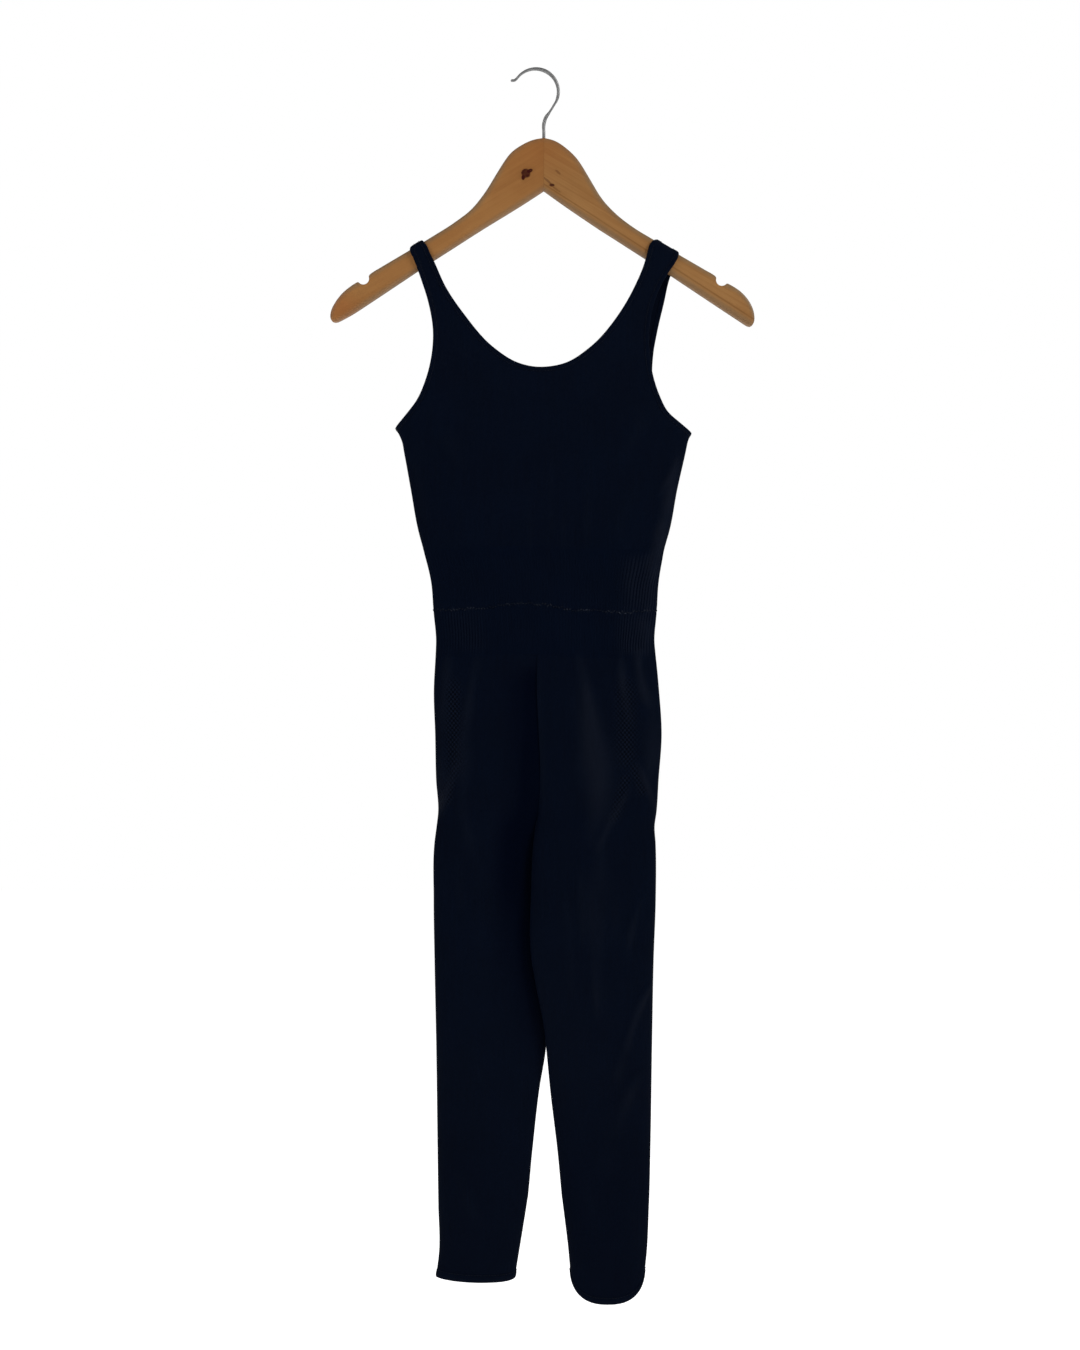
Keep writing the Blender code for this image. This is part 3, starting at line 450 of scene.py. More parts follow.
class HangerSettings(bpy.types.PropertyGroup):
    """Sizes and colours of the hanger"""

    top_round: length_setting("Top rounding", "Radius of the wood's upper edges", 0.0026)
    under_round: length_setting("Underside rounding", "Radius of its lower edges", 0.0034)
    wood_colour: colour_setting("Wood", "Colour between the grain lines", (0.304, 0.143, 0.0445))
    grain_colour: colour_setting("Grain", "Colour of the grain lines", (0.214, 0.084, 0.0215))
    knot_colour: colour_setting("Knot", "Colour of the knot's heart", (0.030, 0.0012, 0.0004))
    wire_colour: colour_setting("Wire", "Colour of the plated hook", (0.25, 0.25, 0.25))


class StageSettings(bpy.types.PropertyGroup):
    """The floor, the light and the camera"""

    floor_drop: FloatProperty(
        name="Floor height", description="Height of the floor from the top of the hook",
        default=-1.62, unit="LENGTH",
    )
    floor_colour: colour_setting("Floor", "Colour of the floor", (0.9, 0.9, 0.9))
    floor_glow: strength_setting("Floor glow", "Light that comes up through the floor", 0.95)
    side_power: strength_setting("Side light", "Power of the light at the right", 47, "POWER")
    front_power: strength_setting("Front light", "Power of the light in front", 4.5, "POWER")
    room_light: strength_setting("Room light", "Brightness of the surroundings", 0.13)
    camera_distance: length_setting("Camera distance", "Distance from the garment's middle", 1.8)
    view_height: length_setting("View height", "Height of what the camera takes in", 1.4202)


# ---- curves and tables


def smooth_curve(keys, values):
    """A function through the given values, with even slopes between them."""
    order = np.argsort(keys)
    keys = np.array(keys, float)[order]
    values = np.array(values, float)[order]
    slopes = np.gradient(values, keys)

    def at(key):
        key = np.clip(key, keys[0], keys[-1])
        i = np.clip(np.searchsorted(keys, key) - 1, 0, len(keys) - 2)
        span = keys[i + 1] - keys[i]
        t = (key - keys[i]) / span
        start = (1 + 2 * t) * (1 - t) ** 2 * values[i] + t * (1 - t) ** 2 * span * slopes[i]
        return start + t**2 * (3 - 2 * t) * values[i + 1] + t**2 * (t - 1) * span * slopes[i + 1]

    return at


def columns_of(table):
    """One smooth function of the first column for each of the others."""
    columns = list(zip(*table))
    return [smooth_curve(columns[0], column) for column in columns[1:]]


def by_side(left, right):
    return {"left": left, "right": right}


def closed(rows):
    """The rows with the first one again at the end."""
    return np.concatenate([rows, rows[:1]])


def unit(vectors):
    return vectors / np.linalg.norm(vectors, axis=-1, keepdims=True)


def lengths_along(line):
    steps = np.linalg.norm(np.diff(line, axis=0), axis=1)
    return np.concatenate([[0], np.cumsum(steps)])


def rows_at(wanted, keys, rows):
    """The rows at the wanted keys, straight between the given ones."""
    return np.stack([np.interp(wanted, keys, column) for column in rows.T], axis=1)


def resampled(line, fractions):
    """The points at the given fractions of a line's length."""
    length = lengths_along(line)
    return rows_at(np.array(fractions) * length[-1], length, line)


def dense_route(points, count=ROUTE_POINTS):
    """Closely spaced points along a smooth route through the given ones, evenly by length."""
    points = np.array(points, float)
    along = lengths_along(points)
    fine = np.linspace(0, along[-1], count)
    line = np.stack([smooth_curve(along, column)(fine) for column in points.T], axis=1)
    return resampled(line, np.linspace(0, 1, count))


def smooth_step(start, end, value):
    t = np.clip((value - start) / (end - start), 0, 1)
    return t * t * (3 - 2 * t)


def bell(distance, width, power=2):
    """1 at no distance, falling off to either side of it."""
    return np.exp(-(np.abs(distance / width) ** power))


*outer_folds, half_depth = columns_of(SIDES)
*inner_folds, inner_swing, left_rounding, right_rounding = columns_of(INNER)
*wood_tops, wood_under = columns_of(HANGER_ARM)
(arch_at,) = columns_of(WAIST_ARCH)
OUTER_FOLD = by_side(*outer_folds)
INNER_FOLD = by_side(*inner_folds)
ROUNDING = by_side(left_rounding, right_rounding)
WOOD_TOP = by_side(*wood_tops)


# ---- the hung shape


def wood_top(x):
    return np.where(x < 0, WOOD_TOP["left"](-x), WOOD_TOP["right"](x))


def side_profile(distance, reach, depth):
    """1 in the middle of a wall, 0 at its side fold, turning with the fold's radius."""
    power = np.maximum(2, 2 * reach * FOLD_RADIUS / depth**2)
    return np.sqrt(np.clip(1 - (1 - np.clip(distance / reach, 0, 1)) ** power, 0, 1))


def waist_lift(x, z):
    """The waist seam rises and falls a little along the waist, and the rows near it follow."""
    return arch_at(x) * bell(z - WAIST_SEAM, ARCH_REACH)


def path_place(x, z, row, bow):
    """Where a place lies on a row's straight or bowed path: share of its length, distance aside."""
    start, end = np.array(row[:2], float), np.array(row[2:], float)
    length = np.linalg.norm(end - start)
    along = (end - start) / length
    share = ((x - start[0]) * along[0] + (z - start[1]) * along[1]) / length
    inside = np.clip(share, 0, 1)
    aside = (x - start[0]) * along[1] - (z - start[1]) * along[0]
    return share, aside - bow * 4 * inside * (1 - inside)


def crease_rise(front, x, z):
    """How far the creases stand out of the front or the back, uneven along each of them."""
    rises = []
    for creases in (FRONT_CREASES, BACK_CREASES):
        rise = np.zeros(np.broadcast(x, z).shape)
        for number, (*row, bow, width, height) in enumerate(creases):
            share, aside = path_place(x, z, row, bow)
            inside = np.clip(share, 0, 1)
            uneven = 1 + CREASE_UNEVEN * np.sin(9 * inside + 2.1 * number)
            spread = width * (0.85 + 0.3 * np.sin(5 * inside + 1.3 * number) ** 2)
            fade = np.sin(math.pi * inside) ** 0.8
            rise += height * uneven * fade * bell(aside, spread)
        rises.append(rise)
    return np.where(front, *rises)


def rise_fold(side, x, z):
    """The dip on the left of the seam down the rise, and the lip on its right."""
    top, bottom, depth, dip_width, lip, lip_width = RISE_FOLD
    along = np.sin(math.pi * np.clip((top - z) / (top - bottom), 0, 1)) ** 0.45
    from_fold = x - INNER_FOLD[side](z)
    if side == "left":
        return -depth * along * bell(from_fold, dip_width)
    return lip * along * bell(from_fold - LIP_PLACE, lip_width)


def shaping_share(x, z):
    """1 in the knitted-in openwork lines, 0 outside them."""
    share_in = np.zeros(np.broadcast(x, z).shape)
    for *row, width in SHAPING:
        share, aside = path_place(x, z, row, 0)
        ends = smooth_step(-0.1, 0.15, share) * smooth_step(1.1, 0.85, share)
        share_in = np.maximum(share_in, ends * bell(aside, width))
    return share_in


def relief(front, x, z, out, side=None):
    """Creases and shaping lines together, fading where the wall turns at a side fold."""
    depth = bpy.context.scene.jumpsuit_cloth.crease_depth
    rise = depth * crease_rise(front, x, z) + SHAPING_RISE * shaping_share(x, z)
    if side:
        rise = rise + depth / 1.5 * rise_fold(side, x, z)
    return rise * np.clip(out / 6, 0, 1)


def painted_light_and_shade(points, side=None):
    """Painted light and shade: 1, a full painted highlight, on the ridges; -1, the deepest painted
    shade, in the troughs.
    """
    x, y, z = points.T
    rise = crease_rise(y < 0, x, z)
    # Painted highlight on the lip right of the seam
    if side == "right":
        rise = rise + LIP_HIGHLIGHT * rise_fold(side, x, z)
    # Painted shade on the left leg where it goes under the right one
    if side == "left":
        from_seam = INNER_FOLD["right"](z) - x
        strip_shade_depth, narrow, wider, widest_at, over = SEAM_STRIP_SHADE
        near = narrow + wider * bell(z - widest_at, over)
        for depth, start, full, fading, end, far, close in (
            (strip_shade_depth, *SHADE_HEIGHTS, near, near * 0.3), *LEFT_LEG_PAINTED_SHADES
        ):
            along = smooth_step(start, full, z) * smooth_step(end, fading, z)
            rise = rise - depth * along * smooth_step(far, close, from_seam)
    # Painted shade towards the hems
    if side:
        rise = rise - ANKLE_PAINTED_SHADE[side] * smooth_step(*ANKLE_HEIGHTS, z)
    return np.clip(rise / PAINT_FULL_RISE, -1, 1)


def strap_slope(x):
    """Cosine of the slope of the wood's top where a strap crosses it."""
    rise = np.abs(wood_top(x + 1) - wood_top(x - 1)) / 2
    return 1 / np.sqrt(1 + rise**2)


def below_crossing(x, z):
    """How far a place on a strap lies below the strap's top, square to the wood."""
    return (wood_top(x) + STRAP_RISE - z) * strap_slope(x)


def strap_bend(x, z):
    """0 on the hanging part of a strap, 1 on the top of the wood."""
    return np.clip((BEND_DEPTH - below_crossing(x, z)) / BEND_DEPTH, 0, 1)


def strap_hump(x, z):
    """The middle of a strap rides a little higher over the wood than its edges."""
    lift = np.zeros(np.broadcast(x, z).shape)
    for side, ends in CROSSINGS.items():
        share = np.clip((x - min(ends)) / abs(ends[0] - ends[1]), 0, 1)
        lift = lift + STRAP_HUMP[side] * np.sin(math.pi * share) ** 0.7
    return lift * strap_bend(x, z)


def torso_out(x, z):
    """Distance of the bodice or rib wall from the garment's middle plane."""
    left, right, depth = OUTER_FOLD["left"](z), OUTER_FOLD["right"](z), half_depth(z)
    out = depth * side_profile(np.minimum(x - left, right - x), (right - left) / 2, depth)
    strap = smooth_step(STRAP_STARTS, STRAP_FLAT, z)
    out = (1 - strap) * out + strap * STRAP_OUT
    return out * (1 - strap_bend(x, z) ** BEND_POWER) ** (1 / BEND_POWER)


def torso_points(places, face):
    """Places given by x and height, laid on the front or back wall."""
    x, z = places[..., 0], places[..., 1]
    out = torso_out(x, z)
    out = out + relief(face == "front", x, z, out)
    return np.stack([x, SIGN[face] * out, z + waist_lift(x, z) + strap_hump(x, z)], axis=-1)


def leg_loop(side, height, drop=None):
    """One level of a leg and its half of the seat: front seam, outer fold, back seam."""
    outer, inner, rounding = (each[side](height) for each in (OUTER_FOLD, INNER_FOLD, ROUNDING))
    depth, width = half_depth(height), abs(outer - inner)
    turn = np.linspace(math.pi, -math.pi, 2 * LEG_COLUMNS + 1)
    place = (1 - np.cos(turn)) / 2
    distance = width * place
    # The wall still rises up to half the hips' width, and lower down to half the leg's
    hips = (OUTER_FOLD["right"](height) - OUTER_FOLD["left"](height)) / 2
    lower = smooth_step(CROTCH, LEG_PROPER, height)
    out = depth * side_profile(distance, (1 - lower) * hips + lower * width / 2, depth)
    # The seat is open at its centre seams, fully at the rib and no more at the crotch
    down_seat = np.clip((RIB_BOTTOM - height) / (RIB_BOTTOM - CROTCH), 0, 1)
    inside = 1 - np.clip((width - distance) / rounding, 0, 1)
    out = out * np.sqrt(np.clip(1 - down_seat**SEAT_CLOSING * inside**2, 0, 1))
    x = outer - SIGN[side] * distance
    front = turn >= 0
    out = out + relief(front, x, height, out, side)
    swing = -SIGN[side] * inner_swing(height) * smooth_step(0, width, distance)
    z = np.full_like(x, height)
    if drop:
        z = z + drop(place)
    return np.stack([x, swing - np.where(front, out, -out), z + waist_lift(x, z)], axis=1)


def hem_row(side, share):
    """A leg's row below HEM_BLEND, sagging towards the hem: share is 1 at the top of its band."""
    corner, drop, band, skew = HEMS[side]
    length = corner + band - HEM_BLEND
    sag = share**HEM_SAG
    soft = math.sqrt(HEM_SOFTNESS)

    def dropped(place):
        """The place goes from 0 at the outer fold to 1 at the inner one."""
        aside = np.abs(2 * place**skew - 1) ** HEM_SQUARENESS
        across = np.clip(1 - aside, 0, 1) ** (1 / HEM_SQUARENESS)
        rounded = (np.sqrt(across**2 + HEM_SOFTNESS) - soft) / (math.sqrt(1 + HEM_SOFTNESS) - soft)
        return length * (sag - share) - drop * sag * rounded

    return leg_loop(side, HEM_BLEND + length * share, dropped)


# ---- skins and shells


def numbered(points):
    """The numbers of a grid's points, row by row."""
    return np.arange(points[..., 0].size).reshape(points.shape[:2])


def cells_of(grid):
    """The four corners of each cell of a grid, in order round the cell."""
    corners = (grid[:-1, :-1], grid[:-1, 1:], grid[1:, 1:], grid[1:, :-1])
    return np.stack(corners, axis=2).reshape(-1, 4, *grid.shape[2:])


def face_areas(points, faces):
    """Each face's normal, twice as long as the face's area."""
    a, b, c, d = (points[faces[:, corner]] for corner in range(4))
    return np.cross(c - a, d - b)


def turned_outwards(points, faces, corner_uv):
    """A closed skin's faces and corner UVs, turned round if the faces look inwards."""
    volume = (face_areas(points, faces) * points[faces].mean(axis=1)).sum()
    step = -1 if volume < 0 else 1
    return faces[:, ::step], corner_uv[:, ::step]


def border_edges(faces):
    """The directed edges that only one face uses."""
    start = faces.ravel()
    end = np.roll(faces, -1, axis=1).ravel()
    size = int(faces.max()) + 1
    single = ~np.isin(start.astype(np.int64) * size + end, end.astype(np.int64) * size + start)
    return start[single], end[single]


def linked(name, data):
    """A new object of the data, in the scene."""
    thing = bpy.data.objects.new(name, data)
    bpy.context.scene.collection.objects.link(thing)
    return thing


def placed_piece(name, mesh, material, sharp_angle=None):
    """A smooth object of the mesh, riding on the one body."""
    mesh.shade_smooth()
    if sharp_angle:
        mesh.set_sharp_from_angle(angle=math.radians(sharp_angle))
    mesh.materials.append(material)
    piece = linked(name, mesh)
    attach(piece, BODY)
    return piece


def make_piece(
    name, points, faces, corner_uv, material, slot, marks=None, centre=CENTRE_X, sharp_angle=None
):
    """A piece of four-sided faces, from points in millimetres."""
    mesh = bpy.data.meshes.new(name)
    placed = (points.reshape(-1, 3) + np.array([centre, 0, 0])) * MM
    mesh.vertices.add(len(placed))
    mesh.vertices.foreach_set("co", placed.ravel())
    mesh.loops.add(faces.size)
    mesh.loops.foreach_set("vertex_index", faces.ravel().astype(np.int32))
    mesh.polygons.add(len(faces))
    mesh.polygons.foreach_set("loop_start", np.arange(0, faces.size, 4, dtype=np.int32))
    mesh.update(calc_edges=True)
    layer = mesh.uv_layers.new(name="cloth")
    layer.data.foreach_set("uv", corner_uv.astype(np.float32).ravel())
    for mark, values in (marks or {}).items():
        attribute = mesh.attributes.new(mark, "FLOAT", "POINT")
        attribute.data.foreach_set("value", values.astype(np.float32))
    if mesh.validate():
        raise RuntimeError(f"{name} has faulty faces")
    return placed_piece(name, mesh, material, sharp_angle)


def cloth_shell(name, points, faces, corner_uv, wall, material, slot, marks, rise=0.0):
    """Gives an outer skin its inner skin and rims. rise lifts the outer skin alone."""
    used, faces = np.unique(faces, return_inverse=True)
    points, faces = points.reshape(-1, 3)[used], faces.reshape(-1, 4)
    normals = np.zeros_like(points)
    for corner in range(4):
        np.add.at(normals, faces[:, corner], face_areas(points, faces))
    normals = unit(normals)
    if (normals[:, 1] * points[:, 1]).sum() < 0:
        faces, corner_uv, normals = faces[:, ::-1], corner_uv[:, ::-1], -normals
    count = len(points)
    start, end = border_edges(faces)
    point_uv = np.zeros((count, 2))
    point_uv[faces.ravel()] = corner_uv.reshape(-1, 2)
    rims = np.stack([end, start, start + count, end + count], axis=1)
    rim_uv = point_uv[np.stack([end, start, start, end], axis=1)]
    return make_piece(
        name,
        np.concatenate([points + normals * rise, points - normals * wall]),
        np.concatenate([faces, faces[:, ::-1] + count, rims]),
        np.concatenate([corner_uv, corner_uv[:, ::-1], rim_uv]),
        material, slot, sharp_angle=CLOTH_SHARP,
        marks={mark: np.tile(values(points), 2) for mark, values in marks.items()},
    )


def tube_faces(rings, sides):
    """Faces round a tube made of rings of points, and a fan of them at each end."""
    index = np.arange(rings * sides).reshape(rings, sides)
    fan = np.array([[0, k, k + 1, k + 2] for k in range(1, sides - 2, 2)])
    return np.concatenate([cells_of(closed(index.T).T), fan, fan[:, ::-1] + (rings - 1) * sides])


# ---- bands and threads


def band_section(width, rise, wall):
    """The cut through a folded band: across it from its outer edge, and outwards."""
    turn = np.arange(BAND_POINTS) * TURN / BAND_POINTS
    across, height = (
        np.sign(wave) * np.abs(wave) ** power
        for wave, power in zip((np.cos(turn), np.sin(turn)), BAND_FULLNESS)
    )
    across = width / 2 * (1 - across)
    height = (rise + wall) / 2 * height + (rise - wall) / 2
    pressed = GROOVE_DEPTH * bell(across - width + GROOVE, GROOVE_WIDTH)
    amount, start = BAND_THINNED
    thinned = 1 - amount * smooth_step(start * width, width, across)
    return across, np.where(height > 0, height * thinned - pressed, height)


def band_ring(name, edge, inside, material, rise, wall):
    """A folded band that closes on itself, between the cloth's edge and a line inside it.

    Also gives the row where its stitches lie, their outward normals and half the band's girth.
    """
    into = inside - edge
    width = np.linalg.norm(into, axis=1, keepdims=True)
    usual_width = float(np.median(width))
    normals = unit(np.cross(np.roll(edge, -1, axis=0) - np.roll(edge, 1, axis=0), into))
    if (normals[:, 1] * (edge - edge.mean(axis=0))[:, 1]).sum() < 0:
        normals = -normals
    across, height = band_section(usual_width, rise, wall)
    half_girth = lengths_along(closed(np.stack([across, height], axis=1)))[-1] / 2
    # A band lies flatter where it runs over the wood
    flat = (edge[:, 2] > wood_top(edge[:, 0]) - 12) * bell(edge[:, 1], 5)
    height = np.where(height > 0, height * (1 - 0.8 * flat[:, None]), height)
    points = edge[:, None] + into[:, None] * (across / usual_width)[:, None]
    points = points + normals[:, None] * height[..., None]
    uv = np.broadcast_arrays(lengths_along(closed(edge))[:, None], closed(across)[None])
    index = closed(closed(numbered(points)).T).T
    points = points.reshape(-1, 3)
    skin = turned_outwards(points, cells_of(index), cells_of(np.stack(uv, axis=-1)))
    piece = make_piece(name, points, *skin, material, "binding")
    row = edge + into * (1 - GROOVE / width) + normals * (rise * 0.5 - 0.1)
    return piece, row, normals, half_girth


def thread_row(name, row, normals, material, stitch):
    """Short thread loops in a closed row, each rising out of the cloth and going back in."""
    row, normals = closed(row), closed(normals)
    total = lengths_along(row)
    count = int(total[-1] / stitch)
    middles = (np.arange(count) + 0.5) * total[-1] / count
    at = rows_at(middles, total, row)
    up = unit(rows_at(middles, total, normals))
    ahead = unit(rows_at(middles + 0.5, total, row) - at)
    shade = 0.55 + 0.35 * np.sin(np.arange(count) * 1.7) * np.sin(np.arange(count) * 0.23)
    return loops_of_thread(name, at, ahead, up, stitch, BAND_THREAD, material, shade)


def loops_of_thread(name, at, direction, up, stitch, thread, material, shade):
    """A mesh of short arched threads: middles, directions and outward normals are given."""
    share, thickness, lift = thread
    radius = thickness * np.array(THREAD_SHAPE)[:, None]
    rings, sides = len(radius), 6
    step = np.linspace(-0.5, 0.5, rings)[:, None]
    arch = lift * (1 - (2 * step) ** 2) - THREAD_SUNK
    turn = np.arange(sides) * TURN / sides
    side = unit(np.cross(direction, up))[:, None, None]
    direction, up = direction[:, None], up[:, None]
    centre = at[:, None] + direction * (step * stitch * share) + up * arch
    points = centre[:, :, None] + side * (radius * np.cos(turn))[..., None]
    points = points + up[:, None] * (radius * np.sin(turn))[..., None]
    count = rings * sides
    number = np.arange(count)
    one = tube_faces(rings, sides)
    uv = np.stack([number // sides * 0.5, number % sides * 0.3], axis=1)[one]
    one, uv = turned_outwards(points[0].reshape(-1, 3), one, uv)
    faces = (one + np.arange(len(at))[:, None, None] * count).reshape(-1, 4)
    marks = {"shade": np.repeat(shade, count)}
    uv = np.tile(uv, (len(at), 1, 1))
    return make_piece(name, points, faces, uv, material, "binding", marks)


# ---- bodice


def inset_line(line, distance, cloth_side):
    """A line moved sideways into the cloth: cloth_side is 1 where the cloth lies to its right."""
    along = unit(np.gradient(line, axis=0))
    return line + np.stack([along[:, 1], -along[:, 0]], axis=1) * cloth_side * distance


def upper_fractions(line):
    """Places along an edge: even up to the bend over the wood, then closer round the bend."""
    tail = slice(len(line) * 3 // 4, None)
    below = below_crossing(*line[tail].T)
    length = np.linspace(0, 1, len(line))[tail]
    turn = np.arange(BEND_ROWS + 1) / BEND_ROWS * math.pi / 2
    bend = np.interp(-BEND_DEPTH * (1 - np.sin(turn)), -below, length)
    bend[-1] = 1
    return np.concatenate([np.linspace(0, bend[0], UPPER_ROWS + 1), bend[1:]])


def level_start(points):
    """A dense route that leaves its first point on the level, as one half of a round neck."""
    (x, _), (next_x, next_z) = points[:2]
    line = dense_route(((2 * x - next_x, next_z), *points))
    first = int(np.argmin(np.linalg.norm(line - np.array(points[0]), axis=1)))
    line = np.concatenate([[points[0]], line[first + 1 :]])
    return resampled(line, np.linspace(0, 1, ROUTE_POINTS))


def edge_line(face, side, name, depth):
    """The armhole's or the neck's edge above the underarm, moved into the cloth by a depth."""
    table, end_number, inwards, route = {
        "armhole": (ARMHOLES, 0, 1, dense_route),
        "neck": (NECKLINES, 1, -1, level_start),
    }[name]
    ends = [(x, float(wood_top(np.array(x))) + STRAP_RISE) for x in CROSSINGS[side]]
    line = route(table[face, side] + (ends[end_number],))
    moved = inset_line(line, depth, -SIGN[side] * inwards)
    moved[-1] = line[-1] + unit(np.array(ends[1]) - np.array(ends[0])) * inwards * depth
    low = line[0, 1] - depth
    if name == "neck":
        moved[0] = (line[0, 0], low)
    elif depth:
        moved[0] = (float(OUTER_FOLD[side](low)), low)
    moved = resampled(moved, np.linspace(0, 1, len(moved)))
    return resampled(moved, upper_fractions(moved))


def half_panel(face, side):
    """Places of half a panel's grid, rows going up and columns towards the middle."""
    edges = []
    for name in ("armhole", "neck"):
        upper = edge_line(face, side, name, PANEL_INSET)
        heights = np.linspace(RIB_TOP, upper[0, 1], LOWER_ROWS + 1)[:-1]
        x = OUTER_FOLD[side](heights) if name == "armhole" else np.full(LOWER_ROWS, upper[0, 0])
        edges.append(np.concatenate([np.stack([x, heights], axis=1), upper]))
    outer, inner = edges
    even = np.linspace(0, 1, PANEL_COLUMNS + 1)
    curved = 1 - np.cos(even * math.pi / 2)
    spread = PANEL_EVENNESS * even + (1 - PANEL_EVENNESS) * curved
    return outer[:, None] + (inner - outer)[:, None] * spread[None, :, None]


def bodice_panel(face, settings, material):
    """Front or back of the bodice, with its half of both straps."""
    halves = []
    for side in ("left", "right"):
        places = half_panel(face, side)
        points = torso_points(places, face)
        steps = np.linalg.norm(np.diff(points[..., :2], axis=1), axis=2)
        from_inner = np.cumsum(steps[:, ::-1], axis=1)[:, ::-1]
        from_inner = np.concatenate([from_inner, np.zeros((len(points), 1))], axis=1)
        u = places[:, -1:, 0] + SIGN[side] * from_inner
        halves.append((points, np.stack([u, points[..., 2]], axis=-1)))
    left, right = halves
    points, uv = (np.concatenate([a, b[:, ::-1]], axis=1) for a, b in zip(left, right))
    # The halves share the points of the middle line up to the neck
    index = numbered(points)
    middle = PANEL_COLUMNS + 1
    index[:middle, middle] = index[:middle, middle - 1]
    faces, corner_uv = (
        np.concatenate([cells_of(grid[:, :middle]), cells_of(grid[:, middle:])])
        for grid in (index, uv)
    )
    wall = settings.wall / MM
    name = f"knit_bodice_{face}"
    piece = cloth_shell(name, points, faces, corner_uv, wall, material, "knit", {"painted_light_and_shade": painted_light_and_shade})
    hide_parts(f"bodice_{face}")
    return piece


def neck_loops():
    """The neck's edge and the line inside it: down and up the front, over the wood, the back."""
    loops = []
    for depth in (0, PANEL_INSET):
        front, back = (
            np.concatenate([
                edge_line(face, first, "neck", depth)[::-1],
                edge_line(face, second, "neck", depth)[1:],
            ])
            for face, first, second in (("front", "right", "left"), ("back", "left", "right"))
        )
        front, back = torso_points(front, "front"), torso_points(back[1:-1], "back")
        loops.append(np.concatenate([front, back]))
    return loops


def armhole_loops(side):
    loops = []
    for depth in (0, PANEL_INSET):
        front, back = (
            torso_points(edge_line(face, side, "armhole", depth), face)
            for face in ("front", "back")
        )
        loops.append(np.concatenate([front, back[-2:0:-1]]))
    return loops


# ---- waist


def waist_loop(height):
    """Closely spaced points round the waist at one level, from the left fold over the front."""
    left, right = (OUTER_FOLD[side](height) for side in ("left", "right"))
    turn = np.linspace(math.pi, -math.pi, LOOP_POINTS)
    x = (left + right) / 2 + (right - left) / 2 * np.cos(turn)
    z = np.full_like(x, height)
    out = torso_out(x, z)
    out = out + relief(turn >= 0, x, z, out)
    return np.stack([x, np.where(turn >= 0, -out, out), z + waist_lift(x, z)], axis=1)


def rib_band(name, top, bottom, settings, material):
    """A ribbed zone of the waist, all round, its ribs leaning where the cloth is pulled."""
    heights = np.linspace(top, bottom, int(round((top - bottom) / RIB_STEP)) + 1)
    close = WAIST_SEAM + np.array([0.9, 1.8, 2.7]) * (1 if top > WAIST_SEAM else -1)
    far = heights[np.abs(heights - WAIST_SEAM) > 3.2]
    heights = np.sort(np.concatenate([far, close, [WAIST_SEAM]]))[::-1]
    phases = np.tile(RIB_PHASES, settings.rib_count)
    ribs = np.repeat(np.arange(settings.rib_count), len(RIB_PHASES))
    fractions = np.append((ribs + phases) / settings.rib_count, 1)
    ridge = 1 - np.abs(2 * np.append(phases, 0) - 1) ** RIB_ROUNDNESS
    most, level, middle, spread = RIB_LEAN
    leaning = most * bell(fractions - middle, spread)
    right, left, back = (
        bell(fractions - middle, width, power) for middle, width, power in RIB_ZONES
    )
    loops, uv, rises, rib_light_and_shade = [], [], [], []
    for height in heights:
        loop = waist_loop(height)
        up = (height - RIB_BOTTOM) / (RIB_TOP - RIB_BOTTOM)
        lean = leaning * (up - level)
        wobble = RIB_WOBBLE * np.sin(40 * fractions * math.pi + 3 * up)
        fade = np.sin(math.pi * fractions) ** 0.5
        loops.append(resampled(loop, np.clip(fractions + (lean + wobble) * fade, 0, 1)))
        around = fractions * lengths_along(loop)[-1]
        uv.append(np.stack([around, np.full_like(fractions, height)], axis=1))
        zones = (np.ones_like(fractions), right, left * smooth_step(0.5, 0.4, up), back)
        ends = smooth_step(RIB_TOP, RIB_TOP - RIB_FADE[0], height)
        ends = ends * smooth_step(RIB_BOTTOM, RIB_BOTTOM + RIB_FADE[1], height)
        seam = 0.45 + 0.55 * smooth_step(0.5, 5, abs(height - WAIST_SEAM))
        uneven = 1 + 0.18 * np.sin(17 * fractions * math.pi + 0.1 * height)
        shown = ends * seam * uneven
        rises.append(settings.rib_depth / MM * ridge * shown * np.dot(RIB_HEIGHTS, zones))
        # Painted highlight on the crests of the ribs, painted shade between them
        rib_light_and_shade.append(np.dot(RIB_PAINTED_LIGHT, zones) * shown * (2.1 * ridge - 1.3 + 0.3 * right))
    loops = np.array(loops)
    rises, rib_light_and_shade = (np.array(values)[:, :-1].ravel() for values in (rises, rib_light_and_shade))
    index = numbered(loops)
    index[:, -1] = index[:, 0]
    piece = cloth_shell(
        name, loops, cells_of(index), cells_of(np.array(uv)), settings.rib_wall / MM, material,
        "rib", {"painted_light_and_shade": lambda points: np.clip(seam_light_and_shade(points) + rib_light_and_shade, -1, 1)}, rises[:, None],
    )
    return piece, loops


def seam_patches(x):
    """How pale the waist seam shows, by x."""
    shade = sum(strength * bell(x - middle, half, 4) for middle, half, strength in SEAM_PATCHES)
    return np.clip(shade, 0, 1)


def seam_light_and_shade(points):
    """The painted light and shade of a ribbed zone, with a painted highlight where the seam puckers
    it.
    """
    x, _, z = points.T
    away = z - WAIST_SEAM - arch_at(x) - 0.8 * np.sin(1.3 * x)
    pucker_highlight = seam_patches(x) * bell(away, 1.8 + 0.5 * np.sin(0.7 * x))
    pucker_highlight = pucker_highlight * (0.55 + 0.45 * np.sin(2.1 * x + 0.7 * np.sin(0.9 * x)))
    return np.clip(painted_light_and_shade(points) + 1.5 * pucker_highlight, -1, 1)


